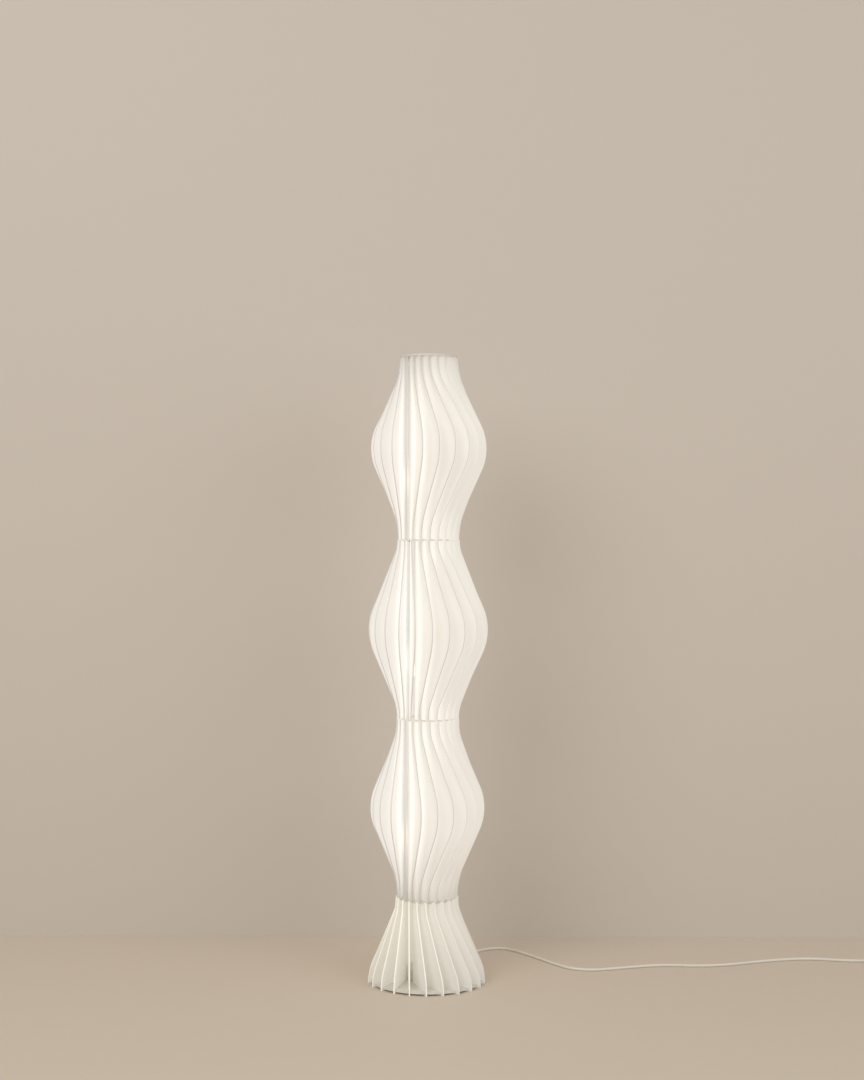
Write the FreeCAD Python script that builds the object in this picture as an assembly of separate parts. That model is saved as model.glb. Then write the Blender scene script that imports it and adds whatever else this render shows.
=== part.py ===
import FreeCAD, Part

import math
import os

# A floor lamp of three bulging tiers on a flared foot.  Each tier is a ring of flat opal fins,
# set at a slant, tenoned into a thin ring plate at each end.  The tiers stand on each other and
# a steel mast on the axis, which carries the bulbs, pulls the stack down onto the foot.
# Millimetres, +Z up.  The origin is the centre of the foot, on the floor.  The lamp faces -Y,
# and +X is on its right.

# ---------------------------------------------------------------- driving dimensions
# Tiers, measured between the planes where two ring plates meet
FOOT_HEIGHT = 203.5
LOWER_HEIGHT = 427.5
MIDDLE_HEIGHT = 427.0
UPPER_HEIGHT = 440.0

# Fins: flat sheets that miss the axis by their slant
FIN_COUNT = 22
FIN_THICKNESS = 3.0
FIN_INNER_RADIUS = 57.0
FOOT_SLANT = 44.4
LOWER_SLANT = 52.8
MIDDLE_SLANT = 46.8
UPPER_SLANT = 52.8
# Direction of one fin's tip where the tier is widest, in degrees from -Y towards +X
FOOT_TIP_ANGLE = 0.0
LOWER_TIP_ANGLE = 10.5
MIDDLE_TIP_ANGLE = 4.4
UPPER_TIP_ANGLE = 10.6

# Necks, where the tiers are narrowest: radius, straight length, rounding into the flank
FOOT_NECK_RADIUS = 74.7
FOOT_NECK_LENGTH = 23.6
FOOT_NECK_ROUND = 65.0
LOWER_LOW_NECK_RADIUS = 72.3
LOWER_LOW_NECK_LENGTH = 35.0
LOWER_LOW_NECK_ROUND = 128.0
LOWER_HIGH_NECK_RADIUS = 74.6
LOWER_HIGH_NECK_LENGTH = 32.5
LOWER_HIGH_NECK_ROUND = 90.0
MIDDLE_LOW_NECK_RADIUS = 74.2
MIDDLE_LOW_NECK_LENGTH = 23.5
MIDDLE_LOW_NECK_ROUND = 98.0
MIDDLE_HIGH_NECK_RADIUS = 74.8
MIDDLE_HIGH_NECK_LENGTH = 18.5
MIDDLE_HIGH_NECK_ROUND = 80.0
UPPER_LOW_NECK_RADIUS = 72.8
UPPER_LOW_NECK_LENGTH = 35.0
UPPER_LOW_NECK_ROUND = 140.0
UPPER_HIGH_NECK_RADIUS = 69.0
UPPER_HIGH_NECK_LENGTH = 38.0
UPPER_HIGH_NECK_ROUND = 130.0

# Bulges: how far out along the fin its two flanks would meet, how high above the lower joint,
# and the rounding there
LOWER_BULGE_REACH = 139.1
LOWER_BULGE_HEIGHT = 210.8
LOWER_BULGE_ROUND = 119.0
MIDDLE_BULGE_REACH = 148.8
MIDDLE_BULGE_HEIGHT = 211.6
MIDDLE_BULGE_ROUND = 131.0
UPPER_BULGE_REACH = 142.4
UPPER_BULGE_HEIGHT = 222.3
UPPER_BULGE_ROUND = 118.0
# The foot's fins run out to a short upright edge at the floor
FOOT_REACH = 133.5
FOOT_EDGE_HEIGHT = 25.3
FOOT_FLOOR_GAP = 0.5
# How much of that edge its rounding into the flank takes up
FOOT_EDGE_SHARE = 0.955

# Ring plates between the tiers, and the tenons that sit in them.  Their rims lie behind the
# fins' outer lips, which meet the next tier's; the top ring's rim covers the fins' ends.
RING_THICKNESS = 2.0
TOP_RING_THICKNESS = 4.0
FOOT_DISC_THICKNESS = 4.0
RING_INNER_RADIUS = 46.0
RIM_SETBACK = 7.0
RIM_CLEARANCE = 0.3
TOP_RIM_OVERHANG = 1.3
LIP_SHORT = 0.1
TENON_INSET = 3.0
TENON_LAND = 3.5
SLOT_CLEARANCE = 0.15
TENON_SHORT = 0.2

# Screws
JOINT_SCREW_COUNT = 3
JOINT_SCREW_CIRCLE = 51.0
TOP_SCREW_CIRCLE = 50.0
M3_RADIUS = 1.5
M3_HEAD_RADIUS = 3.0
M3_HEAD_DEPTH = 1.6
M3_NUT_ACROSS = 5.5
M3_NUT_HEIGHT = 2.4
M4_RADIUS = 2.0
M5_RADIUS = 2.5
M5_HEAD_RADIUS = 4.25
M5_HEAD_HEIGHT = 5.0
M6_RADIUS = 3.0
SCREW_CLEARANCE = 0.2
THREAD_CLEARANCE = 0.05

# Base plate, its rubber feet and the ballast on it
PLATE_RADIUS = 134.0
PLATE_THICKNESS = 5.0
RUBBER_HEIGHT = 4.0
RUBBER_RADIUS = 9.0
RUBBER_CIRCLE = 100.0
RUBBER_COUNT = 4
RUBBER_SCREW_HEAD_RADIUS = 3.9
RUBBER_RECESS_DEPTH = 2.0
FOOT_NOTCH_REACH = 118.0
FOOT_HOOK_LENGTH = 8.0
FOOT_HOOK_GAP = 0.1
BALLAST_RADIUS = 50.0
BALLAST_HEIGHT = 28.0

# Mast, its flange on the ballast and the spider that holds the top ring to it
MAST_RADIUS = 7.0
MAST_WALL = 1.5
FLANGE_RADIUS = 22.0
FLANGE_THICKNESS = 5.0
SOCKET_RADIUS = 11.0
SOCKET_HEIGHT = 12.0
FLANGE_SCREW_CIRCLE = 16.3
SPIDER_THICKNESS = 2.5
SPIDER_DROP = 8.0
SPIDER_ARM_WIDTH = 12.0
SPIDER_ARM_COUNT = 3
SPIDER_ARM_REACH = 54.0
SPIDER_HUB_RADIUS = 14.0
SPIDER_HUB_FLAT = 27.0
SPIDER_RISE_END = 40.0
INSERT_LENGTH = 18.0
THUMB_SCREW_RADIUS = 9.0
THUMB_SCREW_HEIGHT = 7.0
THUMB_SCREW_LENGTH = 17.0
THUMB_SCREW_FLUTES = 12
MAST_TOP_GAP = 0.5

# Lamp brackets: one on the mast at the middle of each tier, with a bulb up and a bulb down
ARM_REACH = 27.0
ARM_THICKNESS = 4.0
ARM_END_RADIUS = 9.0
COLLAR_RADIUS = 13.0
COLLAR_HEIGHT = 16.0
NIPPLE_RADIUS = 5.0
NIPPLE_BORE = 3.5
NIPPLE_LENGTH = 16.0
NIPPLE_NUT_ACROSS = 14.0
NIPPLE_NUT_HEIGHT = 3.0
HOLDER_RADIUS = 12.5
HOLDER_BASE_RADIUS = 13.5
HOLDER_BASE_HEIGHT = 7.0
HOLDER_LENGTH = 38.0
HOLDER_BORE = 7.0
HOLDER_FLOOR = 11.0
CAP_LENGTH = 28.0
BULB_RADIUS = 17.0
BULB_LENGTH = 74.0
BULB_NECK_RADIUS = 7.2
BULB_SHOULDER = 31.0
LEAD_RADIUS = 1.8
LEAD_HOLE_RADIUS = 2.4
LEAD_BEND = 9.0
LEAD_DROP = 4.0
LEAD_START = 3.0

# Wiring in the foot: the cord's clamp between two fins, the terminal box on the ballast
CORD_RADIUS = 3.5
CORD_GAP_NUMBER = 9
CLAMP_INNER = 98.0
CLAMP_LENGTH = 22.0
CLAMP_WIDTH = 20.0
CLAMP_AXIS_HEIGHT = 11.0
CLAMP_CAP_HEIGHT = 9.0
CLAMP_SCREW_SPREAD = 6.8
CLAMP_SHEATH_LENGTH = 13.0
BOOT_RADIUS = 6.0
BOOT_TIP_RADIUS = 4.6
BOOT_LENGTH = 30.0
BOOT_ROOT = 4.0
CORD_FIT = 0.05
INNER_LEAD_RADIUS = 2.2
INNER_LEAD_BEND = 14.0
INNER_LEAD_FALL = 26.0
BOX_NEAR = 26.0
BOX_FAR = 50.0
BOX_START = -22.0
BOX_END = 18.0
BOX_HEIGHT = 22.0
BOX_WALL = 1.6
BLOCK_LENGTH = 20.0
BLOCK_WIDTH = 13.0
BLOCK_HEIGHT = 11.0

# Foot switch in the cord, lying on the floor beyond the lamp
SWITCH_START_X = 1150.0
SWITCH_Y = 196.0
SWITCH_AXIS_Z = 8.0
SWITCH_LENGTH = 80.0
SWITCH_WIDTH = 44.0
SWITCH_HEIGHT = 21.0
SWITCH_CORNER = 14.0
SWITCH_WALL = 2.0
SWITCH_COLLAR_LENGTH = 12.0
SWITCH_COLLAR_RADIUS = 6.0
SWITCH_COLLAR_TIP = 5.0
SWITCH_EDGE_ROUND = 3.0
BUTTON_RADIUS = 14.0
BUTTON_PROUD = 4.5
BUTTON_TRAVEL = 3.0
BUTTON_FIT = 0.3
BUTTON_FLANGE = 2.0
SWITCH_BLOCK_SIZE = 12.0
SWITCH_SCREW_SPREAD = 28.0

# Coil of the cord's spare length, and the mains plug at its end
COIL_RADIUS = 33.5
COIL_PITCH = 7.8
COIL_CENTRE_X = 1262.0
COIL_CENTRE_Y = 106.0
PLUG_END_X = 1160.0
PLUG_Y = 58.0
PLUG_AXIS_Z = 7.0
PLUG_LENGTH = 36.0
PLUG_WIDTH = 35.0
PLUG_THICKNESS = 14.0
PLUG_CORNER = 6.5
PLUG_TAIL_LENGTH = 22.0
PLUG_TAIL_RADIUS = 6.0
PLUG_TAIL_TIP = 4.8
PIN_RADIUS = 2.0
PIN_LENGTH = 19.0
PIN_SPACING = 19.0

# Cord's centre line on the floor, from the boot in the foot to the switch, chosen by hand
CORD_REST_Z = CORD_RADIUS
FIRST_RUN = 34.0
CORD_ROUTE = [
    (73.5, 215.0, 12.0),
    (91.0, 252.0, CORD_REST_Z),
    (134.0, 285.0, CORD_REST_Z),
    (175.0, 314.0, CORD_REST_Z),
    (217.0, 300.0, CORD_REST_Z),
    (247.0, 260.0, CORD_REST_Z),
    (285.0, 206.0, CORD_REST_Z),
    (320.0, 150.0, CORD_REST_Z),
    (355.0, 108.0, CORD_REST_Z),
    (400.0, 94.0, CORD_REST_Z),
    (455.0, 107.0, CORD_REST_Z),
    (520.0, 131.0, CORD_REST_Z),
    (590.0, 147.0, CORD_REST_Z),
    (680.0, 138.0, CORD_REST_Z),
    (755.0, 152.0, CORD_REST_Z),
    (830.0, 183.0, CORD_REST_Z),
    (905.0, 207.0, CORD_REST_Z),
    (975.0, 216.0, CORD_REST_Z),
    (1045.0, 198.0, CORD_REST_Z),
    (1100.0, 194.0, CORD_REST_Z),
    (1128.0, SWITCH_Y, SWITCH_AXIS_Z),
]
# From the switch round to the coil
LINK_ROUTE = [
    (1276.0, SWITCH_Y, SWITCH_AXIS_Z),
    (1300.0, 184.0, 5.0),
    (1311.0, 160.0, CORD_REST_Z),
    (COIL_CENTRE_X + COIL_RADIUS + 2 * COIL_PITCH, 134.0, CORD_REST_Z),
]
# From the coil down to the plug
TAIL_ROUTE = [
    (1226.0, COIL_CENTRE_Y - COIL_RADIUS - 1.5 * COIL_PITCH, CORD_REST_Z + COIL_PITCH),
    (1203.0, 59.4, 8.5),
    (1182.0, PLUG_Y, PLUG_AXIS_Z),
]

# ---------------------------------------------------------------- places that follow from them
X_AXIS = FreeCAD.Vector(1, 0, 0)
Y_AXIS = FreeCAD.Vector(0, 1, 0)
Z_AXIS = FreeCAD.Vector(0, 0, 1)
ORIGIN = FreeCAD.Vector(0, 0, 0)

FOOT_JOINT = FOOT_HEIGHT
LOWER_JOINT = FOOT_JOINT + LOWER_HEIGHT
MIDDLE_JOINT = LOWER_JOINT + MIDDLE_HEIGHT
TOP = MIDDLE_JOINT + UPPER_HEIGHT

PLATE_TOP = RUBBER_HEIGHT + PLATE_THICKNESS
BALLAST_TOP = PLATE_TOP + BALLAST_HEIGHT
SPIDER_PAD_TOP = TOP - TOP_RING_THICKNESS
SPIDER_HUB_TOP = SPIDER_PAD_TOP - SPIDER_DROP
MAST_TOP = SPIDER_HUB_TOP - SPIDER_THICKNESS - MAST_TOP_GAP
CORD_AXIS_Z = PLATE_TOP + CLAMP_AXIS_HEIGHT
CLAMP_OUTER = CLAMP_INNER + CLAMP_LENGTH
BOOT_MOUTH = CLAMP_OUTER + BOOT_LENGTH
FIN_STEP = 360.0 / FIN_COUNT


def along(radius, slant):
    """How far out along a fin's sheet, from its point nearest the axis, a radius lies."""
    return math.sqrt(radius ** 2 - slant ** 2)


def sheet_angle(tip_angle, tip_radius, slant):
    """The turn about +Z that takes a sheet facing -Y to where its tip points at tip_angle."""
    return tip_angle - math.degrees(math.acos(slant / tip_radius))


# ---------------------------------------------------------------- drawing helpers
def corner_arc(before, at, after, radius):
    """The first, middle and last point of the arc that rounds the corner at `at`."""
    back = (before - at).normalize()
    ahead = (after - at).normalize()
    half = back.getAngle(ahead) / 2
    reach = radius / math.tan(half)
    centre = at + (back + ahead).normalize() * (radius / math.sin(half))
    middle = centre + (at - centre).normalize() * radius
    return at + back * reach, middle, at + ahead * reach


def edges_through(points, radii, closed):
    """Straight edges through the points, with an arc at each corner that has a radius."""
    corners = []
    count = len(points)
    for i, point in enumerate(points):
        if radii[i] > 0:
            corners.append(corner_arc(points[i - 1], point, points[(i + 1) % count], radii[i]))
        else:
            corners.append((point, None, point))
    edges = []
    for i, (first, middle, last) in enumerate(corners):
        if middle is not None:
            edges.append(Part.Arc(first, middle, last).toShape())
        if i + 1 == count and not closed:
            break
        following = corners[(i + 1) % count][0]
        if last.distanceToPoint(following) > 1e-6:
            edges.append(Part.LineSegment(last, following).toShape())
    return edges


def plate(outline, radii, low, high):
    """A flat piece from an outline of (x, y) points, between two heights."""
    points = [FreeCAD.Vector(x, y, low) for x, y in outline]
    face = Part.Face(Part.Wire(edges_through(points, radii, True)))
    return face.extrude(Z_AXIS * (high - low))


def turned(profile, radii=None):
    """A piece turned about the Z axis from its (radius, height) profile."""
    points = [FreeCAD.Vector(r, 0, z) for r, z in profile]
    edges = edges_through(points, radii or [0] * len(points), True)
    return Part.Face(Part.Wire(edges)).revolve(ORIGIN, Z_AXIS, 360)


def cylinder(radius, low, high, x=0.0, y=0.0):
    """An upright cylinder between two heights."""
    return Part.makeCylinder(radius, high - low, FreeCAD.Vector(x, y, low), Z_AXIS)


def box(low, high):
    """A box between two corners."""
    size = [b - a for a, b in zip(low, high)]
    return Part.makeBox(*size, FreeCAD.Vector(*low))


def hexagon(across, low, high):
    """A hexagonal prism on the Z axis, `across` wide over its flats."""
    outer = across / math.sqrt(3)
    outline = [
        (outer * math.cos(math.radians(60 * i)), outer * math.sin(math.radians(60 * i)))
        for i in range(6)
    ]
    return plate(outline, [0] * 6, low, high)


def spun(shape, degrees):
    """A copy turned about the lamp's axis."""
    copy = shape.copy()
    copy.rotate(ORIGIN, Z_AXIS, degrees)
    return copy


def moved(shape, x=0.0, y=0.0, z=0.0):
    """A copy moved by (x, y, z)."""
    copy = shape.copy()
    copy.translate(FreeCAD.Vector(x, y, z))
    return copy


def ring_of(shape, count, start=0.0):
    """Copies of a shape, evenly spaced about the lamp's axis."""
    return [spun(shape, start + 360.0 * i / count) for i in range(count)]


def group(shapes):
    """Several separate solids as one named piece."""
    return Part.makeCompound(shapes)


def along_x(shape, x, y, z):
    """A shape drawn on the Z axis, laid so that it runs along +X from (x, y, z)."""
    copy = shape.copy()
    copy.rotate(ORIGIN, Y_AXIS, 90)
    copy.translate(FreeCAD.Vector(x, y, z))
    return copy


# ---------------------------------------------------------------- fins and ring plates
class Tier:
    """One ring of fins: its sheets' places, its necks, and the ring plates that hold it."""

    def __init__(self, low, high, slant, low_plate, high_plate, low_neck, high_neck):
        self.low = low
        self.high = high
        self.slant = slant
        self.low_plate = low_plate
        self.high_plate = high_plate
        self.low_neck = low_neck
        self.high_neck = high_neck
        self.low_rim = set_back(low_neck) if low_neck else 0.0
        self.high_rim = set_back(high_neck)
        self.inner = along(FIN_INNER_RADIUS, slant)
        self.turn = 0.0

    def tenon(self, rim):
        """Where a tenon starts and ends along the sheet, in a ring plate with that rim."""
        outer_face = self.slant + FIN_THICKNESS / 2
        return self.inner + TENON_INSET, along(rim, outer_face) - TENON_LAND

    def lip(self, neck_radius, rim, shoulder, joint):
        """The fin's corner at a ring plate, from its outer edge to the shoulder under the plate.

        Outside the plate's rim it runs on to the joint as a lip, unless the plate covers it.
        """
        neck = along(neck_radius, self.slant)
        if rim > neck_radius:
            return [(neck, shoulder)]
        notch = along(rim, self.slant - FIN_THICKNESS / 2) + RIM_CLEARANCE
        return [(neck, joint), (notch, joint), (notch, shoulder)]


def set_back(neck):
    """The rim of a ring plate that lies behind the fins' lips."""
    return neck[0] - RIM_SETBACK


def overhung(neck):
    """The rim of the top ring, out past the fins' ends."""
    return neck[0] + TOP_RIM_OVERHANG


def widest(tier, reach, height, rounding, low, high):
    """The radius at the rounded bulge whose flanks run from low and high and meet at reach."""
    peak = FreeCAD.Vector(reach, 0, height)
    middle = corner_arc(low, peak, high, rounding)[1]
    return math.hypot(middle.x, tier.slant)


def high_end(tier):
    """The fin's upper end, from its outer edge to its inner one, with the tenon."""
    start, end = tier.tenon(tier.high_rim)
    top = tier.high - tier.high_plate
    tip = tier.high - TENON_SHORT
    lip = tier.lip(tier.high_neck[0], tier.high_rim, top, tier.high - LIP_SHORT)
    return lip + [(end, top), (end, tip), (start, tip), (start, top), (tier.inner, top)]


def low_end(tier):
    """The fin's lower end, from its inner edge to its outer one, with the tenon."""
    start, end = tier.tenon(tier.low_rim)
    bottom = tier.low + tier.low_plate
    tip = tier.low + TENON_SHORT
    lip = tier.lip(tier.low_neck[0], tier.low_rim, bottom, tier.low + LIP_SHORT)
    tenon = [(tier.inner, bottom), (start, bottom), (start, tip), (end, tip), (end, bottom)]
    return tenon + lip[::-1]


def sheet(tier, outline, radii):
    """One fin, cut to its outline of (along, height) points and set at its slant."""
    back = -tier.slant - FIN_THICKNESS / 2
    points = [FreeCAD.Vector(u, back, z) for u, z in outline]
    face = Part.Face(Part.Wire(edges_through(points, radii, True)))
    return face.extrude(Y_AXIS * FIN_THICKNESS)


def bulging_fins(tier, reach, height, rounding, tip_angle):
    """A tier's fins: neck, flank, bulge, flank, neck."""
    low_corner = (along(tier.low_neck[0], tier.slant), tier.low + tier.low_neck[1])
    high_corner = (along(tier.high_neck[0], tier.slant), tier.high - tier.high_neck[1])
    peak = (reach, tier.low + height)
    below = low_end(tier)
    above = high_end(tier)
    outline = below + [low_corner, peak, high_corner] + above
    rounds = [tier.low_neck[2], rounding, tier.high_neck[2]]
    radii = [0] * len(below) + rounds + [0] * len(above)
    low_point, high_point = (FreeCAD.Vector(u, 0, z) for u, z in (low_corner, high_corner))
    tip_radius = widest(tier, reach, peak[1], rounding, low_point, high_point)
    tier.turn = sheet_angle(tip_angle, tip_radius, tier.slant)
    return group(ring_of(sheet(tier, outline, radii), FIN_COUNT, tier.turn))


def foot_fins(tier):
    """The foot's fins stand on the base plate, pass through its edge and hook under it."""
    plate_low = RUBBER_HEIGHT - FOOT_HOOK_GAP
    hook = FOOT_NOTCH_REACH - FOOT_HOOK_LENGTH
    below = [
        (tier.inner, PLATE_TOP),
        (FOOT_NOTCH_REACH, PLATE_TOP),
        (FOOT_NOTCH_REACH, plate_low),
        (hook, plate_low),
        (hook, FOOT_FLOOR_GAP),
        (FOOT_REACH, FOOT_FLOOR_GAP),
    ]
    neck_corner = (along(tier.high_neck[0], tier.slant), tier.high - tier.high_neck[1])
    above = high_end(tier)
    outline = below + [(FOOT_REACH, FOOT_EDGE_HEIGHT), neck_corner] + above
    lean = math.atan2(FOOT_REACH - neck_corner[0], neck_corner[1] - FOOT_EDGE_HEIGHT)
    rounded = FOOT_EDGE_SHARE * (FOOT_EDGE_HEIGHT - FOOT_FLOOR_GAP)
    edge_round = rounded / math.tan(lean / 2)
    radii = [0] * len(below) + [edge_round, tier.high_neck[2]] + [0] * len(above)
    tip_radius = math.hypot(FOOT_REACH, tier.slant)
    tier.turn = sheet_angle(FOOT_TIP_ANGLE, tip_radius, tier.slant)
    return group(ring_of(sheet(tier, outline, radii), FIN_COUNT, tier.turn))


def slot_wires(tier, rim, height):
    """The outlines of a ring plate's slots, one for each tenon."""
    start, end = tier.tenon(rim)
    half = FIN_THICKNESS / 2 + SLOT_CLEARANCE
    near, far = start - SLOT_CLEARANCE, end + SLOT_CLEARANCE
    corners = [
        (near, -tier.slant - half),
        (far, -tier.slant - half),
        (far, -tier.slant + half),
        (near, -tier.slant + half),
    ]
    wire = Part.makePolygon([FreeCAD.Vector(x, y, height) for x, y in corners + corners[:1]])
    return ring_of(wire, FIN_COUNT, tier.turn)


def slotted_plate(tier, rim, low, thickness, inner_radius):
    """A ring plate with a slot for each of its tier's tenons."""
    centre = FreeCAD.Vector(0, 0, low)
    rims = [
        Part.Wire(Part.makeCircle(rim, centre)),
        Part.Wire(Part.makeCircle(inner_radius, centre)),
    ]
    face = Part.makeFace(rims + slot_wires(tier, rim, low), "Part::FaceMakerBullseye")
    return face.extrude(Z_AXIS * thickness)


def screw_places(circle, count=JOINT_SCREW_COUNT):
    """Where screws on a circle about the axis stand, the first at the back of the lamp."""
    turns = [math.radians(90 + 360.0 * i / count) for i in range(count)]
    return [(circle * math.cos(a), circle * math.sin(a)) for a in turns]


def drilled(shape, circle, low, high, sunk_at=None):
    """A plate with clearance holes, sunk for screw heads at the height sunk_at."""
    cutters = []
    for x, y in screw_places(circle):
        cutters.append(cylinder(M3_RADIUS + SCREW_CLEARANCE, low - 1, high + 1, x, y))
        if sunk_at is not None:
            cutters.append(moved(sunk_head(SCREW_CLEARANCE), x, y, sunk_at))
    return shape.cut(cutters)


def sunk_head(growth=0.0):
    """A countersunk M3 head, its flat top at height 0."""
    wide = M3_HEAD_RADIUS + growth
    narrow = M3_RADIUS + growth
    return turned([(0, 0), (wide, 0), (narrow, -M3_HEAD_DEPTH), (0, -M3_HEAD_DEPTH)])


def sunk_screw(length):
    """A countersunk M3 screw, its flat top at height 0."""
    shank = turned([(0, 0), (M3_HEAD_RADIUS, 0), (M3_RADIUS, -M3_HEAD_DEPTH),
                    (M3_RADIUS, -length), (0, -length)])
    return shank


def nut(across, height, bore):
    """A hexagonal nut hanging below height 0."""
    return hexagon(across, -height, 0).cut(cylinder(bore, -height - 1, 1))


def build_shades(parts):
    """The four tiers of fins and the ring plates at their ends."""
    foot = Tier(0.0, FOOT_JOINT, FOOT_SLANT, 0.0, FOOT_DISC_THICKNESS, None,
                (FOOT_NECK_RADIUS, FOOT_NECK_LENGTH, FOOT_NECK_ROUND))
    lower = Tier(FOOT_JOINT, LOWER_JOINT, LOWER_SLANT, RING_THICKNESS, RING_THICKNESS,
                 (LOWER_LOW_NECK_RADIUS, LOWER_LOW_NECK_LENGTH, LOWER_LOW_NECK_ROUND),
                 (LOWER_HIGH_NECK_RADIUS, LOWER_HIGH_NECK_LENGTH, LOWER_HIGH_NECK_ROUND))
    middle = Tier(LOWER_JOINT, MIDDLE_JOINT, MIDDLE_SLANT, RING_THICKNESS, RING_THICKNESS,
                  (MIDDLE_LOW_NECK_RADIUS, MIDDLE_LOW_NECK_LENGTH, MIDDLE_LOW_NECK_ROUND),
                  (MIDDLE_HIGH_NECK_RADIUS, MIDDLE_HIGH_NECK_LENGTH, MIDDLE_HIGH_NECK_ROUND))
    upper = Tier(MIDDLE_JOINT, TOP, UPPER_SLANT, RING_THICKNESS, TOP_RING_THICKNESS,
                 (UPPER_LOW_NECK_RADIUS, UPPER_LOW_NECK_LENGTH, UPPER_LOW_NECK_ROUND),
                 (UPPER_HIGH_NECK_RADIUS, UPPER_HIGH_NECK_LENGTH, UPPER_HIGH_NECK_ROUND))
    upper.high_rim = overhung(upper.high_neck)

    parts["foot_fins"] = foot_fins(foot)
    parts["lower_fins"] = bulging_fins(lower, LOWER_BULGE_REACH, LOWER_BULGE_HEIGHT,
                                       LOWER_BULGE_ROUND, LOWER_TIP_ANGLE)
    parts["middle_fins"] = bulging_fins(middle, MIDDLE_BULGE_REACH, MIDDLE_BULGE_HEIGHT,
                                        MIDDLE_BULGE_ROUND, MIDDLE_TIP_ANGLE)
    parts["upper_fins"] = bulging_fins(upper, UPPER_BULGE_REACH, UPPER_BULGE_HEIGHT,
                                       UPPER_BULGE_ROUND, UPPER_TIP_ANGLE)

    disc = slotted_plate(foot, foot.high_rim, FOOT_JOINT - FOOT_DISC_THICKNESS,
                         FOOT_DISC_THICKNESS, MAST_RADIUS + SCREW_CLEARANCE)
    parts["foot_disc"] = drilled(disc, JOINT_SCREW_CIRCLE, FOOT_JOINT - FOOT_DISC_THICKNESS,
                                 FOOT_JOINT)
    for name, tier in (("lower", lower), ("middle", middle), ("upper", upper)):
        bottom = slotted_plate(tier, tier.low_rim, tier.low, tier.low_plate,
                               RING_INNER_RADIUS)
        parts[name + "_bottom_ring"] = drilled(bottom, JOINT_SCREW_CIRCLE, tier.low,
                                               tier.low + tier.low_plate,
                                               tier.low + tier.low_plate)
        top = slotted_plate(tier, tier.high_rim, tier.high - tier.high_plate,
                            tier.high_plate, RING_INNER_RADIUS)
        if tier is upper:
            parts[name + "_top_ring"] = drilled(top, TOP_SCREW_CIRCLE, SPIDER_PAD_TOP, TOP, TOP)
        else:
            parts[name + "_top_ring"] = drilled(top, JOINT_SCREW_CIRCLE,
                                                tier.high - tier.high_plate, tier.high)

    screws, nuts = [], []
    for joint, below in ((FOOT_JOINT, FOOT_DISC_THICKNESS), (LOWER_JOINT, RING_THICKNESS),
                         (MIDDLE_JOINT, RING_THICKNESS)):
        head = joint + RING_THICKNESS
        length = RING_THICKNESS + below + M3_NUT_HEIGHT
        for x, y in screw_places(JOINT_SCREW_CIRCLE):
            screws.append(moved(sunk_screw(length), x, y, head))
            one = nut(M3_NUT_ACROSS, M3_NUT_HEIGHT, M3_RADIUS + THREAD_CLEARANCE)
            nuts.append(moved(one, x, y, joint - below))
    parts["joint_screws"] = group(screws)
    parts["joint_nuts"] = group(nuts)
    return foot


# ---------------------------------------------------------------- foot
def in_gap(foot, shape):
    """A shape drawn beside the sheet plane, turned to the gap that the cord leaves by."""
    return spun(shape, foot.turn + (CORD_GAP_NUMBER + 0.5) * FIN_STEP)


def build_foot(parts, foot):
    """The base plate with a slot for each fin, its rubber feet and the ballast."""
    half = FIN_THICKNESS / 2 + SLOT_CLEARANCE
    slot = box((FOOT_NOTCH_REACH - SLOT_CLEARANCE, -foot.slant - half, RUBBER_HEIGHT - 1),
               (PLATE_RADIUS + 1, -foot.slant + half, PLATE_TOP + 1))
    holes = ring_of(slot, FIN_COUNT, foot.turn)
    rubber_turn = 180.0 / RUBBER_COUNT
    for hole in ring_of(cylinder(M4_RADIUS + THREAD_CLEARANCE, 0, PLATE_TOP + 1, RUBBER_CIRCLE),
                        RUBBER_COUNT, rubber_turn):
        holes.append(hole)
    for x, y in screw_places(FLANGE_SCREW_CIRCLE):
        holes.append(cylinder(M5_RADIUS + THREAD_CLEARANCE, 0, PLATE_TOP + 1, x, y))
    for hole in clamp_screw_places(M3_RADIUS + THREAD_CLEARANCE, RUBBER_HEIGHT - 1,
                                   PLATE_TOP + 1):
        holes.append(in_gap(foot, hole))
    parts["base_plate"] = cylinder(PLATE_RADIUS, RUBBER_HEIGHT, PLATE_TOP).cut(holes)

    recess = RUBBER_SCREW_HEAD_RADIUS + SCREW_CLEARANCE
    hole = M4_RADIUS + SCREW_CLEARANCE
    rubber = turned([(hole, RUBBER_RECESS_DEPTH), (recess, RUBBER_RECESS_DEPTH), (recess, 0),
                     (RUBBER_RADIUS, 0), (RUBBER_RADIUS, RUBBER_HEIGHT), (hole, RUBBER_HEIGHT)])
    parts["rubber_feet"] = group(ring_of(moved(rubber, RUBBER_CIRCLE), RUBBER_COUNT,
                                         rubber_turn))
    head_low = RUBBER_RECESS_DEPTH / 4
    screw = turned([(0, head_low), (RUBBER_SCREW_HEAD_RADIUS, head_low),
                    (RUBBER_SCREW_HEAD_RADIUS, RUBBER_RECESS_DEPTH),
                    (M4_RADIUS, RUBBER_RECESS_DEPTH), (M4_RADIUS, PLATE_TOP - head_low),
                    (0, PLATE_TOP - head_low)])
    parts["foot_screws"] = group(ring_of(moved(screw, RUBBER_CIRCLE), RUBBER_COUNT,
                                         rubber_turn))

    bores = [cylinder(M5_RADIUS + SCREW_CLEARANCE, 0, BALLAST_TOP + 1, x, y)
             for x, y in screw_places(FLANGE_SCREW_CIRCLE)]
    edge = 2.0
    weight = turned([(0, PLATE_TOP), (BALLAST_RADIUS, PLATE_TOP), (BALLAST_RADIUS, BALLAST_TOP),
                     (0, BALLAST_TOP)], [0, edge, edge, 0])
    parts["ballast"] = weight.cut(bores)


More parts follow.
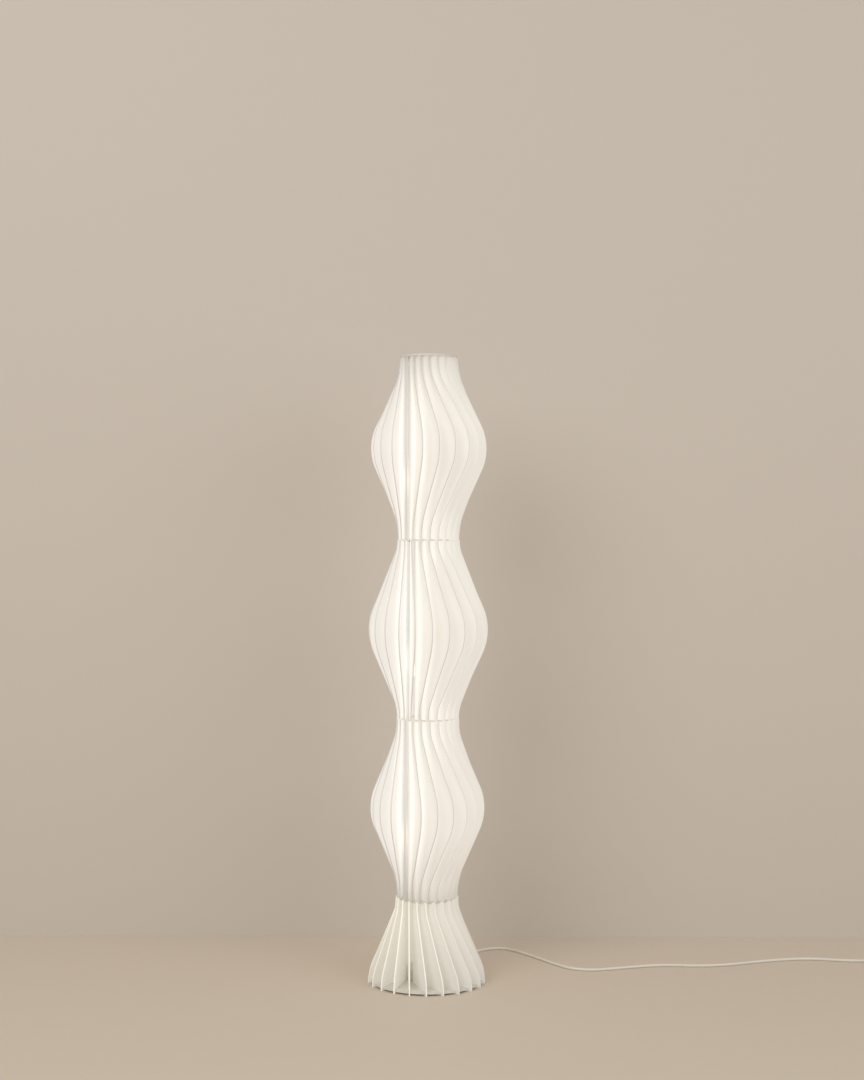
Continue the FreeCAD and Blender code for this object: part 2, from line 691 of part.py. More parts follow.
# ---------------------------------------------------------------- mast and its top
def bracket_heights():
    """The height of each tier's lamp bracket, by the tier's name."""
    return {
        "lower": (FOOT_JOINT + LOWER_JOINT) / 2,
        "middle": (LOWER_JOINT + MIDDLE_JOINT) / 2,
        "upper": (MIDDLE_JOINT + TOP) / 2,
    }


def set_screw(height, turn):
    """A grub screw through a collar or socket, against the mast."""
    return spun(Part.makeCylinder(M4_RADIUS, SOCKET_RADIUS - MAST_RADIUS,
                                  FreeCAD.Vector(MAST_RADIUS, 0, height), X_AXIS), turn)


def set_screw_hole(height, turn):
    """The threaded hole of a grub screw, out through the collar's wall."""
    return spun(Part.makeCylinder(M4_RADIUS + THREAD_CLEARANCE, COLLAR_RADIUS,
                                  FreeCAD.Vector(MAST_RADIUS - 1, 0, height), X_AXIS), turn)


def lead_drop():
    """How far past a bracket arm's middle the lampholder leads enter the mast."""
    return NIPPLE_LENGTH / 2 + LEAD_DROP + LEAD_BEND


def feed_height():
    """Where the feed from the terminal box enters the mast."""
    return BALLAST_TOP + BOX_HEIGHT + LEAD_DROP + LEAD_BEND


def feed_radius():
    """How far from the axis the feed comes up out of the terminal box."""
    return BOX_NEAR + 4 * BOX_WALL


def build_mast(parts, foot):
    """The mast, its flange and screws, and the spider, insert and thumb screw at its top."""
    holes = []
    for height in bracket_heights().values():
        holes.append(Part.makeCylinder(LEAD_HOLE_RADIUS, 2 * MAST_RADIUS,
                                       FreeCAD.Vector(0, 0, height - lead_drop()), X_AXIS))
        holes.append(Part.makeCylinder(LEAD_HOLE_RADIUS, 2 * MAST_RADIUS,
                                       FreeCAD.Vector(0, 0, height + lead_drop()), -X_AXIS))
    feed = Part.makeCylinder(LEAD_HOLE_RADIUS, 2 * MAST_RADIUS,
                             FreeCAD.Vector(0, 0, feed_height()), -Y_AXIS)
    holes.append(in_gap(foot, feed))
    bore = MAST_RADIUS - MAST_WALL
    tube = turned([(bore, BALLAST_TOP), (MAST_RADIUS, BALLAST_TOP), (MAST_RADIUS, MAST_TOP),
                   (bore, MAST_TOP)])
    parts["mast_tube"] = tube.cut(holes)

    fit = MAST_RADIUS + CORD_FIT
    flange_top = BALLAST_TOP + FLANGE_THICKNESS
    socket_top = flange_top + SOCKET_HEIGHT
    flange = turned([(fit, BALLAST_TOP), (FLANGE_RADIUS, BALLAST_TOP),
                     (FLANGE_RADIUS, flange_top), (SOCKET_RADIUS, flange_top),
                     (SOCKET_RADIUS, socket_top), (fit, socket_top)])
    cuts = [cylinder(M5_RADIUS + SCREW_CLEARANCE, BALLAST_TOP - 1, flange_top + 1, x, y)
            for x, y in screw_places(FLANGE_SCREW_CIRCLE)]
    grub_height = flange_top + SOCKET_HEIGHT / 2
    cuts.append(set_screw_hole(grub_height, -90))
    parts["mast_flange"] = flange.cut(cuts)
    screw = turned([(0, flange_top + M5_HEAD_HEIGHT), (M5_HEAD_RADIUS, flange_top + M5_HEAD_HEIGHT),
                    (M5_HEAD_RADIUS, flange_top), (M5_RADIUS, flange_top),
                    (M5_RADIUS, RUBBER_HEIGHT + 1), (0, RUBBER_HEIGHT + 1)])
    socket = hexagon(4.0, flange_top + M5_HEAD_HEIGHT / 2, flange_top + M5_HEAD_HEIGHT + 1)
    screw = screw.cut(socket)
    parts["flange_screws"] = group([moved(screw, x, y)
                                    for x, y in screw_places(FLANGE_SCREW_CIRCLE)])

    grubs = [set_screw(grub_height, -90)]
    grubs += [set_screw(height, 90) for height in bracket_heights().values()]
    parts["set_screws"] = group(grubs)

    insert = turned([(M6_RADIUS, MAST_TOP - INSERT_LENGTH), (bore - THREAD_CLEARANCE,
                     MAST_TOP - INSERT_LENGTH), (bore - THREAD_CLEARANCE, MAST_TOP),
                     (M6_RADIUS, MAST_TOP)])
    parts["mast_insert"] = insert

    hub_low = SPIDER_HUB_TOP - SPIDER_THICKNESS
    pad_low = SPIDER_PAD_TOP - SPIDER_THICKNESS
    side = [(0, hub_low), (SPIDER_HUB_FLAT, hub_low), (SPIDER_RISE_END, pad_low),
            (SPIDER_ARM_REACH, pad_low), (SPIDER_ARM_REACH, SPIDER_PAD_TOP),
            (SPIDER_RISE_END - 1, SPIDER_PAD_TOP), (SPIDER_HUB_FLAT - 1, SPIDER_HUB_TOP),
            (0, SPIDER_HUB_TOP)]
    points = [FreeCAD.Vector(r, -SPIDER_ARM_WIDTH / 2, z) for r, z in side]
    arm = Part.Face(Part.Wire(edges_through(points, [0] * len(points), True)))
    arm = arm.extrude(Y_AXIS * SPIDER_ARM_WIDTH)
    hub = cylinder(SPIDER_HUB_RADIUS, hub_low, SPIDER_HUB_TOP)
    spider = hub.fuse(ring_of(arm, SPIDER_ARM_COUNT, 90)).removeSplitter()
    cuts = [cylinder(M6_RADIUS + SCREW_CLEARANCE, hub_low - 1, SPIDER_HUB_TOP + 1)]
    cuts += [cylinder(M3_RADIUS + THREAD_CLEARANCE, pad_low - 1, SPIDER_PAD_TOP + 1, x, y)
             for x, y in screw_places(TOP_SCREW_CIRCLE)]
    parts["top_spider"] = spider.cut(cuts)
    top_screw = sunk_screw(TOP_RING_THICKNESS + SPIDER_THICKNESS)
    parts["spider_screws"] = group([moved(top_screw, x, y, TOP)
                                    for x, y in screw_places(TOP_SCREW_CIRCLE)])

    head_top = SPIDER_HUB_TOP + THUMB_SCREW_HEIGHT
    chamfer = 0.8
    thumb = turned([(0, head_top), (THUMB_SCREW_RADIUS - chamfer, head_top),
                    (THUMB_SCREW_RADIUS, head_top - chamfer),
                    (THUMB_SCREW_RADIUS, SPIDER_HUB_TOP), (M6_RADIUS - THREAD_CLEARANCE,
                     SPIDER_HUB_TOP),
                    (M6_RADIUS - THREAD_CLEARANCE, SPIDER_HUB_TOP - THUMB_SCREW_LENGTH),
                    (0, SPIDER_HUB_TOP - THUMB_SCREW_LENGTH)])
    flute = cylinder(1.0, SPIDER_HUB_TOP - 1, head_top + 1, THUMB_SCREW_RADIUS + 0.4)
    parts["thumb_screw"] = thumb.cut(ring_of(flute, THUMB_SCREW_FLUTES))


# ---------------------------------------------------------------- bulbs and their brackets
def bracket(height):
    """A collar clamped on the mast, with an arm to each side for a lampholder."""
    half = ARM_THICKNESS / 2
    collar = cylinder(COLLAR_RADIUS, height - COLLAR_HEIGHT / 2, height + COLLAR_HEIGHT / 2)
    bar = box((-ARM_REACH, -ARM_END_RADIUS, height - half),
              (ARM_REACH, ARM_END_RADIUS, height + half))
    ends = [cylinder(ARM_END_RADIUS, height - half, height + half, x)
            for x in (-ARM_REACH, ARM_REACH)]
    body = collar.fuse([bar] + ends).removeSplitter()
    low, high = height - COLLAR_HEIGHT, height + COLLAR_HEIGHT
    cuts = [cylinder(NIPPLE_RADIUS + CORD_FIT, low, high, x) for x in (-ARM_REACH, ARM_REACH)]
    cuts.append(cylinder(MAST_RADIUS + CORD_FIT, low, high))
    cuts.append(set_screw_hole(height, 90))
    return body.cut(cuts)


def lampholder():
    """A candle-bulb holder standing on height 0."""
    return turned([
        (NIPPLE_RADIUS + CORD_FIT, 0),
        (HOLDER_BASE_RADIUS, 0),
        (HOLDER_BASE_RADIUS, HOLDER_BASE_HEIGHT),
        (HOLDER_RADIUS, HOLDER_BASE_HEIGHT + 1),
        (HOLDER_RADIUS, HOLDER_LENGTH),
        (HOLDER_BORE, HOLDER_LENGTH),
        (HOLDER_BORE, HOLDER_FLOOR),
        (NIPPLE_RADIUS + CORD_FIT, HOLDER_FLOOR),
    ])


def bulb_cap():
    """The bulb's metal cap, with the contact at its foot, standing on the holder's floor."""
    radius = HOLDER_BORE - THREAD_CLEARANCE
    return turned([
        (0, HOLDER_FLOOR),
        (2.5, HOLDER_FLOOR),
        (3.0, HOLDER_FLOOR + 2.0),
        (radius, HOLDER_FLOOR + 4.0),
        (radius, HOLDER_FLOOR + CAP_LENGTH),
        (0, HOLDER_FLOOR + CAP_LENGTH),
    ])


def bulb_glass():
    """A candle-shaped opal envelope on the cap, full at its shoulder and rounded at its tip."""
    low = HOLDER_FLOOR + CAP_LENGTH

    def at(radius, height):
        return FreeCAD.Vector(radius, 0, low + height)

    profile = Part.BSplineCurve()
    profile.interpolate(
        Points=[
            at(BULB_NECK_RADIUS, 0),
            at(0.86 * BULB_RADIUS, 0.5 * BULB_SHOULDER),
            at(BULB_RADIUS, BULB_SHOULDER),
            at(0.76 * BULB_RADIUS, 0.72 * BULB_LENGTH),
            at(0.36 * BULB_RADIUS, 0.95 * BULB_LENGTH),
            at(0, BULB_LENGTH),
        ],
        InitialTangent=FreeCAD.Vector(0.6, 0, 1),
        FinalTangent=FreeCAD.Vector(-1, 0, 0),
    )
    axis = Part.LineSegment(at(0, BULB_LENGTH), at(0, 0)).toShape()
    base = Part.LineSegment(at(0, 0), at(BULB_NECK_RADIUS, 0)).toShape()
    return Part.Face(Part.Wire([base, profile.toShape(), axis])).revolve(ORIGIN, Z_AXIS, 360)


def both_ways(shape, height):
    """One copy above the bracket's right arm and one hanging below its left arm."""
    lift = ARM_THICKNESS / 2
    up = moved(shape, ARM_REACH, 0, height + lift)
    down = shape.copy()
    down.rotate(ORIGIN, Y_AXIS, 180)
    return [up, moved(down, -ARM_REACH, 0, height - lift)]


def lead_into_mast(radius, start, bend_height):
    """A lead from (radius, start) up or down to bend_height, then level into the mast."""
    points = [
        FreeCAD.Vector(radius, 0, start),
        FreeCAD.Vector(radius, 0, bend_height),
        FreeCAD.Vector(MAST_RADIUS - MAST_WALL, 0, bend_height),
    ]
    wire = Part.Wire(edges_through(points, [0, LEAD_BEND, 0], False))
    return swept(wire, LEAD_RADIUS)


def swept(wire, radius):
    """A round solid of that radius along a wire."""
    first = wire.OrderedEdges[0]
    start = first.valueAt(first.FirstParameter)
    heading = first.tangentAt(first.FirstParameter)
    if start.distanceToPoint(wire.OrderedVertexes[0].Point) > 1e-6:
        start = first.valueAt(first.LastParameter)
        heading = first.tangentAt(first.LastParameter) * -1
    section = Part.Wire(Part.makeCircle(radius, start, heading))
    return wire.makePipeShell([section], True, False)


def build_lights(parts, foot):
    """Brackets, nipples, nuts, lampholders and bulbs, and the leads that enter the mast."""
    nipple_half = NIPPLE_LENGTH / 2
    arm_half = ARM_THICKNESS / 2
    nipple = turned([(NIPPLE_BORE, -nipple_half - arm_half), (NIPPLE_RADIUS,
                     -nipple_half - arm_half), (NIPPLE_RADIUS, nipple_half - arm_half),
                     (NIPPLE_BORE, nipple_half - arm_half)])
    backing = moved(nut(NIPPLE_NUT_ACROSS, NIPPLE_NUT_HEIGHT, NIPPLE_RADIUS + CORD_FIT), 0, 0,
                    -ARM_THICKNESS)
    nipples, nuts, leads = [], [], []
    for name, height in bracket_heights().items():
        parts[name + "_lamp_bracket"] = bracket(height)
        parts[name + "_lampholders"] = group(both_ways(lampholder(), height))
        parts[name + "_bulb_caps"] = group(both_ways(bulb_cap(), height))
        parts[name + "_bulbs"] = group(both_ways(bulb_glass(), height))
        nipples += both_ways(nipple, height)
        nuts += both_ways(backing, height)
        start = nipple_half - LEAD_START
        right = lead_into_mast(ARM_REACH, height - start, height - lead_drop())
        left = lead_into_mast(ARM_REACH, height + start, height + lead_drop())
        leads += [right, spun(left, 180)]
    feed = lead_into_mast(feed_radius(), BALLAST_TOP + BOX_WALL + BLOCK_HEIGHT, feed_height())
    leads.append(in_gap(foot, spun(feed, -90)))
    parts["holder_nipples"] = group(nipples)
    parts["holder_nuts"] = group(nuts)
    parts["lamp_leads"] = group(leads)


# ---------------------------------------------------------------- wiring in the foot
def clamp_screw_places(radius, low, high):
    """Upright cylinders where the cord clamp's two screws go, in the gap's own frame."""
    middle = CLAMP_INNER + CLAMP_LENGTH / 2
    return [cylinder(radius, low, high, middle, -FOOT_SLANT + side * CLAMP_SCREW_SPREAD)
            for side in (-1, 1)]


def build_wiring(parts, foot):
    """The cord clamp and boot between two fins, the terminal box and the leads to the mast."""
    middle = -foot.slant
    sheath_start = CLAMP_OUTER - CLAMP_SHEATH_LENGTH
    passage = turned([
        (0, CLAMP_INNER - 1),
        (INNER_LEAD_RADIUS + CORD_FIT, CLAMP_INNER - 1),
        (INNER_LEAD_RADIUS + CORD_FIT, sheath_start),
        (CORD_RADIUS + CORD_FIT, sheath_start),
        (CORD_RADIUS + CORD_FIT, CLAMP_OUTER - BOOT_ROOT),
        (BOOT_RADIUS - 1 + CORD_FIT, CLAMP_OUTER - BOOT_ROOT),
        (BOOT_RADIUS - 1 + CORD_FIT, CLAMP_OUTER + 1),
        (0, CLAMP_OUTER + 1),
    ])
    passage = along_x(passage, 0, middle, CORD_AXIS_Z)
    half = CLAMP_WIDTH / 2
    lower = box((CLAMP_INNER, middle - half, PLATE_TOP), (CLAMP_OUTER, middle + half, CORD_AXIS_Z))
    cap_top = CORD_AXIS_Z + CLAMP_CAP_HEIGHT
    upper = box((CLAMP_INNER, middle - half, CORD_AXIS_Z), (CLAMP_OUTER, middle + half, cap_top))
    long_edges = [e for e in upper.Edges
                  if abs(e.tangentAt(0).x) > 0.9 and e.CenterOfMass.z > cap_top - 0.1]
    upper = upper.makeFillet(3.0, long_edges)
    bolts = clamp_screw_places(M3_RADIUS + THREAD_CLEARANCE, PLATE_TOP - 1, cap_top + 1)
    parts["cord_clamp_base"] = in_gap(foot, lower.cut([passage] + bolts))
    parts["cord_clamp_cap"] = in_gap(foot, upper.cut([passage] + bolts))
    screws = []
    head = clamp_screw_places(M3_HEAD_RADIUS - 0.2, cap_top, cap_top + 2.0)
    shank = clamp_screw_places(M3_RADIUS, RUBBER_HEIGHT + 0.5, cap_top)
    for one_head, one_shank in zip(head, shank):
        screws.append(in_gap(foot, one_head.fuse(one_shank)))
    parts["clamp_screws"] = group(screws)

    root = CLAMP_OUTER - BOOT_ROOT
    boot = turned([
        (CORD_RADIUS + CORD_FIT, root),
        (BOOT_RADIUS - 1, root),
        (BOOT_RADIUS - 1, CLAMP_OUTER),
        (BOOT_RADIUS, CLAMP_OUTER),
        (BOOT_TIP_RADIUS, BOOT_MOUTH),
        (CORD_RADIUS + CORD_FIT, BOOT_MOUTH),
    ])
    parts["cord_boot"] = in_gap(foot, along_x(boot, 0, middle, CORD_AXIS_Z))
    inlet = cylinder(CORD_RADIUS, sheath_start, BOOT_MOUTH)
    parts["cord_inlet"] = in_gap(foot, along_x(inlet, 0, middle, CORD_AXIS_Z))

    box_low = BALLAST_TOP
    box_top = BALLAST_TOP + BOX_HEIGHT
    lead_height = (box_low + box_top) / 2
    block_end = (BOX_START + BOX_END + BLOCK_LENGTH) / 2
    rise = CLAMP_INNER - (lead_height - CORD_AXIS_Z)
    points = [FreeCAD.Vector(x, middle, z) for x, z in (
        (sheath_start, CORD_AXIS_Z),
        (CLAMP_INNER - 4, CORD_AXIS_Z),
        (rise - 4, lead_height),
        (block_end, lead_height),
    )]
    bends = [0, INNER_LEAD_BEND, INNER_LEAD_BEND, 0]
    inner_lead = swept(Part.Wire(edges_through(points, bends, False)), INNER_LEAD_RADIUS)
    parts["inner_lead"] = in_gap(foot, inner_lead)

    outer = box((BOX_START, -BOX_FAR, box_low), (BOX_END, -BOX_NEAR, box_top - BOX_WALL))
    hollow = box((BOX_START + BOX_WALL, -BOX_FAR + BOX_WALL, box_low + BOX_WALL),
                 (BOX_END - BOX_WALL, -BOX_NEAR - BOX_WALL, box_top))
    entry = Part.makeCylinder(INNER_LEAD_RADIUS + SCREW_CLEARANCE, 4 * BOX_WALL,
                              FreeCAD.Vector(BOX_END - 2 * BOX_WALL, middle, lead_height), X_AXIS)
    parts["terminal_box"] = in_gap(foot, outer.cut([hollow, entry]))
    lid = box((BOX_START, -BOX_FAR, box_top - BOX_WALL), (BOX_END, -BOX_NEAR, box_top))
    outlet = cylinder(LEAD_HOLE_RADIUS, box_low, box_top + 1, 0, -feed_radius())
    parts["terminal_lid"] = in_gap(foot, lid.cut(outlet))
    block_low = box_low + BOX_WALL
    block = box((block_end - BLOCK_LENGTH, middle - BLOCK_WIDTH / 4, block_low),
                (block_end, middle + 3 * BLOCK_WIDTH / 4, block_low + BLOCK_HEIGHT))
    parts["terminal_block"] = in_gap(foot, block)


# ---------------------------------------------------------------- cord, foot switch and plug
def bend_radii(points):
    """The tangent arcs' radii for a cord through the points, as large as its runs allow."""
    radii = [0.0]
    for before, at, after in zip(points, points[1:], points[2:]):
        back, ahead = before - at, after - at
        turn = math.pi - back.getAngle(ahead)
        radii.append(0.45 * min(back.Length, ahead.Length) / math.tan(turn / 2))
    return radii + [0.0]


def free_cord(name, points):
    """A free stretch of cord through hand-chosen points, with its radii and volume printed."""
    radii = bend_radii(points)
    wire = Part.Wire(edges_through(points, radii, False))
    solid = swept(wire, CORD_RADIUS)
    expected = math.pi * CORD_RADIUS ** 2 * wire.Length
    print(f"{name}: length {wire.Length:.0f}, radii {[round(r) for r in radii[1:-1]]}")
    print(f"{name}: volume over section times length {solid.Volume / expected:.4f}")
    return solid, wire.Length


def arc_leaving(start, heading, end):
    """The arc that leaves start along heading and ends at end, and its heading there."""
    chord = end - start
    half = heading.getAngle(chord)
    sideways = (heading - chord * (heading.dot(chord) / chord.dot(chord))).normalize()
    middle = start + chord * 0.5 + sideways * (chord.Length / 2 * math.tan(half / 2))
    direction = chord.normalize()
    leaving = direction * (2 * heading.dot(direction)) - heading
    return Part.Arc(start, middle, end).toShape(), leaving


def biarc(start, heading, end, leaving):
    """Two arcs that meet smoothly, from start along heading to end along leaving."""
    gap = end - start
    both = heading + leaving
    a = 2 * (1 - heading.dot(leaving))
    b = 2 * gap.dot(both)
    c = -gap.dot(gap)
    reach = (-b + math.sqrt(b * b - 4 * a * c)) / (2 * a)
    joint = (start + end + (heading - leaving) * reach) * 0.5
    first, turned_to = arc_leaving(start, heading, joint)
    second, _ = arc_leaving(joint, turned_to, end)
    return [first, second]


def coil_edges():
    """The coil's centre line: turns inwards on the floor, a climb in the quarter turn where the
    spiral turns back, then turns outwards on top of them."""
    step = COIL_PITCH / 2
    low, high = CORD_REST_Z, CORD_REST_Z + COIL_PITCH
    edges = []

    def at(x, y, z):
        return FreeCAD.Vector(COIL_CENTRE_X + x, COIL_CENTRE_Y + y, z)

    def half_turn(x, radius, side, z):
        """Half a turn about x on the line y = 0, clockwise from above; side 1 starts at +X."""
        near, far = x + side * radius, x - side * radius
        edges.append(Part.Arc(at(near, 0, z), at(x, -side * radius, z), at(far, 0, z)).toShape())

    def quarter_turn(x, radius, z):
        """The first half of a half turn that starts at +X."""
        corner = radius * math.sqrt(0.5)
        edges.append(Part.Arc(at(x + radius, 0, z), at(x + corner, -corner, z),
                              at(x, -radius, z)).toShape())

    first = COIL_RADIUS + 4 * step
    edges.append(Part.LineSegment(at(first, 2 * CORD_RADIUS, low), at(first, 0, low)).toShape())
    half_turn(step, COIL_RADIUS + 3 * step, 1, low)
    half_turn(0, COIL_RADIUS + 2 * step, -1, low)
    half_turn(step, COIL_RADIUS + step, 1, low)
    edges.extend(biarc(at(-COIL_RADIUS, 0, low), Y_AXIS, at(0, COIL_RADIUS, high), X_AXIS))
    corner = COIL_RADIUS * math.sqrt(0.5)
    edges.append(Part.Arc(at(0, COIL_RADIUS, high), at(corner, corner, high),
                          at(COIL_RADIUS, 0, high)).toShape())
    half_turn(-step, COIL_RADIUS + step, 1, high)
    half_turn(0, COIL_RADIUS + 2 * step, -1, high)
    last = COIL_RADIUS + 3 * step
    quarter_turn(-step, last, high)
    edges.append(Part.LineSegment(at(-step, -last, high),
                                  at(-step - 2 * CORD_RADIUS, -last, high)).toShape())
    return edges


def least_gap(wire, radius):
    """The least gap between turns of a tube, measured on points of its centre line."""
    points = wire.discretize(Distance=2.0)
    skip = int(2 * math.pi * radius / 2.0)
    nearest = min(points[i].distanceToPoint(points[j])
                  for i in range(len(points)) for j in range(i + skip, len(points)))
    return nearest - 2 * radius


def build_cord(parts, foot):
    """The mains cord: its visible run, the link, the coil, and the tail into the plug."""
    inner, start, beyond = (in_gap(foot, Part.Vertex(x, -foot.slant, CORD_AXIS_Z)).Point
                            for x in (CLAMP_OUTER, BOOT_MOUTH, BOOT_MOUTH + FIRST_RUN))
    print(f"cord leaves the boot at {start}, heading {(start - inner).normalize()}")
    run = [start, beyond] + [FreeCAD.Vector(*p) for p in CORD_ROUTE]
    run.append(FreeCAD.Vector(SWITCH_START_X, SWITCH_Y, SWITCH_AXIS_Z))
    parts["cord_run"], run_length = free_cord("cord_run", run)

    coil_path = Part.Wire(coil_edges())
    parts["cord_coil"] = swept(coil_path, CORD_RADIUS)
    expected = math.pi * CORD_RADIUS ** 2 * coil_path.Length
    print(f"cord_coil: length {coil_path.Length:.0f}, least gap to itself "
          f"{least_gap(coil_path, CORD_RADIUS):.2f}, volume over section times length "
          f"{parts['cord_coil'].Volume / expected:.4f}")

    ends = [v.Point for v in coil_path.OrderedVertexes]
    switch_end = SWITCH_START_X + SWITCH_LENGTH + 2 * SWITCH_COLLAR_LENGTH
    link = [FreeCAD.Vector(switch_end, SWITCH_Y, SWITCH_AXIS_Z)]
    link += [FreeCAD.Vector(*p) for p in LINK_ROUTE] + [ends[0]]
    parts["cord_link"], link_length = free_cord("cord_link", link)
    tail = [ends[-1]] + [FreeCAD.Vector(*p) for p in TAIL_ROUTE]
    tail.append(FreeCAD.Vector(PLUG_END_X, PLUG_Y, PLUG_AXIS_Z))
    parts["cord_tail"], tail_length = free_cord("cord_tail", tail)
    whole = run_length + link_length + coil_path.Length + tail_length + switch_end - SWITCH_START_X
    print(f"cord: {whole:.0f} mm from the boot to the plug, through the switch")


def build_switch(parts):
    """The foot switch: two shells, the push button with its flange, and the switch block."""
    middle_x = SWITCH_START_X + SWITCH_COLLAR_LENGTH + SWITCH_LENGTH / 2
    outline = [(sx * SWITCH_LENGTH / 2, sy * SWITCH_WIDTH / 2)
               for sx, sy in ((-1, -1), (1, -1), (1, 1), (-1, 1))]
    inner = [(x - math.copysign(SWITCH_WALL, x), y - math.copysign(SWITCH_WALL, y))
             for x, y in outline]
    round_out = [SWITCH_CORNER] * 4
    round_in = [SWITCH_CORNER - SWITCH_WALL] * 4

    def place(shape):
        return moved(shape, middle_x, SWITCH_Y, 0)

    base = plate(outline, round_out, 0, SWITCH_AXIS_Z)
    hollow = plate(inner, round_in, SWITCH_WALL, SWITCH_AXIS_Z + 1)
    collars = []
    for side in (-1, 1):
        cone = Part.makeCone(SWITCH_COLLAR_RADIUS, SWITCH_COLLAR_TIP, SWITCH_COLLAR_LENGTH,
                             FreeCAD.Vector(side * SWITCH_LENGTH / 2, 0, SWITCH_AXIS_Z),
                             X_AXIS * side)
        collars.append(cone)
    base = base.cut(hollow).fuse(collars)
    screw_x = SWITCH_SCREW_SPREAD
    posts = [cylinder(M3_HEAD_RADIUS + 1.2, SWITCH_WALL, SWITCH_AXIS_Z, side * screw_x)
             for side in (-1, 1)]
    bores = []
    for side in (-1, 1):
        bores.append(cylinder(M3_RADIUS + SCREW_CLEARANCE, -1, SWITCH_AXIS_Z + 1, side * screw_x))
        bores.append(cylinder(M3_HEAD_RADIUS + SCREW_CLEARANCE, -1, SWITCH_WALL, side * screw_x))
    parts["foot_switch_base"] = place(base.fuse(posts).cut(bores).removeSplitter())

    cover = plate(outline, round_out, SWITCH_AXIS_Z, SWITCH_HEIGHT)
    rim = [e for e in cover.Edges if abs(e.CenterOfMass.z - SWITCH_HEIGHT) < 1e-6]
    cover = cover.makeFillet(SWITCH_EDGE_ROUND, rim)
    under = SWITCH_HEIGHT - SWITCH_WALL
    hollow = plate(inner, round_in, SWITCH_AXIS_Z - 1, under)
    cover = cover.cut([hollow, cylinder(BUTTON_RADIUS + BUTTON_FIT, 0, SWITCH_HEIGHT + 1)])
    bosses = [cylinder(M3_HEAD_RADIUS + 1.2, SWITCH_AXIS_Z, under, side * screw_x)
              for side in (-1, 1)]
    holes = [cylinder(M3_RADIUS + THREAD_CLEARANCE, 0, under - 1, side * screw_x)
             for side in (-1, 1)]
    parts["foot_switch_cover"] = place(cover.fuse(bosses).cut(holes).removeSplitter())

    top = SWITCH_HEIGHT + BUTTON_PROUD
    flange_top = under - BUTTON_FIT
    flange_low = flange_top - BUTTON_FLANGE
    wide = BUTTON_RADIUS + BUTTON_FLANGE
    bore = BUTTON_RADIUS - BUTTON_FLANGE
    crown = 1.5
    button = turned([(0, top), (BUTTON_RADIUS, top), (BUTTON_RADIUS, flange_top),
                     (wide, flange_top), (wide, flange_low), (bore, flange_low),
                     (bore, top - BUTTON_FLANGE), (0, top - BUTTON_FLANGE)],
                    [0, crown, 0, 0, 0, 0, 0, 0])
    parts["foot_switch_button"] = place(button)
    half = SWITCH_BLOCK_SIZE / 2
    block_top = top - BUTTON_FLANGE - BUTTON_TRAVEL - BUTTON_FIT
    block = box((-half, -half, SWITCH_WALL), (half, half, block_top))
    parts["foot_switch_block"] = place(block)
    screw = turned([(0, 0.5), (M3_HEAD_RADIUS, 0.5), (M3_HEAD_RADIUS, SWITCH_WALL),
                    (M3_RADIUS, SWITCH_WALL), (M3_RADIUS, under - 2), (0, under - 2)])
    parts["foot_switch_screws"] = group([place(moved(screw, side * screw_x))
                                         for side in (-1, 1)])


def build_plug(parts):
    """A flat two-pin mains plug lying on the floor, its pins pointing back along -X."""
    body_start = PLUG_END_X - PLUG_TAIL_LENGTH
    face_x = body_start - PLUG_LENGTH
    half_wide, half_thick = PLUG_WIDTH / 2, PLUG_THICKNESS / 2
    section = [(-half_thick, -half_wide), (half_thick, -half_wide), (half_thick, half_wide),
               (-half_thick, half_wide)]
    body = plate(section, [PLUG_CORNER] * 4, 0, PLUG_LENGTH * 0.55)
    narrow = [(x, y * 0.62) for x, y in section]
    front = Part.Wire(edges_through([FreeCAD.Vector(x, y, PLUG_LENGTH * 0.55)
                                     for x, y in section], [PLUG_CORNER] * 4, True))
    back = Part.Wire(edges_through([FreeCAD.Vector(x, y, PLUG_LENGTH)
                                    for x, y in narrow], [PLUG_CORNER] * 4, True))
    shoulder = Part.makeLoft([front, back], True, True)
    tail = Part.makeCone(PLUG_TAIL_RADIUS, PLUG_TAIL_TIP, PLUG_TAIL_LENGTH,
                         FreeCAD.Vector(0, 0, PLUG_LENGTH), Z_AXIS)
    plug = body.fuse([shoulder, tail]).removeSplitter()
    sockets = [cylinder(PIN_RADIUS, -1, PIN_RADIUS * 2, 0, side * PIN_SPACING / 2)
               for side in (-1, 1)]
    parts["plug_body"] = along_x(plug.cut(sockets), face_x, PLUG_Y, PLUG_AXIS_Z)
    pin = turned([(0, -PIN_LENGTH), (PIN_RADIUS, -PIN_LENGTH), (PIN_RADIUS, PIN_RADIUS * 2),
                  (0, PIN_RADIUS * 2)], [0, 1.2, 0, 0])
    pins = [moved(pin, 0, side * PIN_SPACING / 2) for side in (-1, 1)]
    parts["plug_pins"] = along_x(group(pins), face_x, PLUG_Y, PLUG_AXIS_Z)


def build():
    """Every piece of the lamp, by name."""
    parts = {}
    foot = build_shades(parts)
    build_foot(parts, foot)
    build_mast(parts, foot)
    build_lights(parts, foot)
    build_wiring(parts, foot)
    build_cord(parts, foot)
    build_switch(parts)
    build_plug(parts)
    return parts


if __name__ == "__main__":
    os.makedirs("parts", exist_ok=True)
    for name, shape in build().items():
        if not shape.isValid():
            raise ValueError(name + " isn't a valid shape")
        shape.exportStep(f"parts/{name}.step")
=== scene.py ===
"""Looks of a floor lamp with stacked tiers of slanted opal fins, in metres, around its solids."""

import math

import bpy
from mathutils import Matrix, Vector


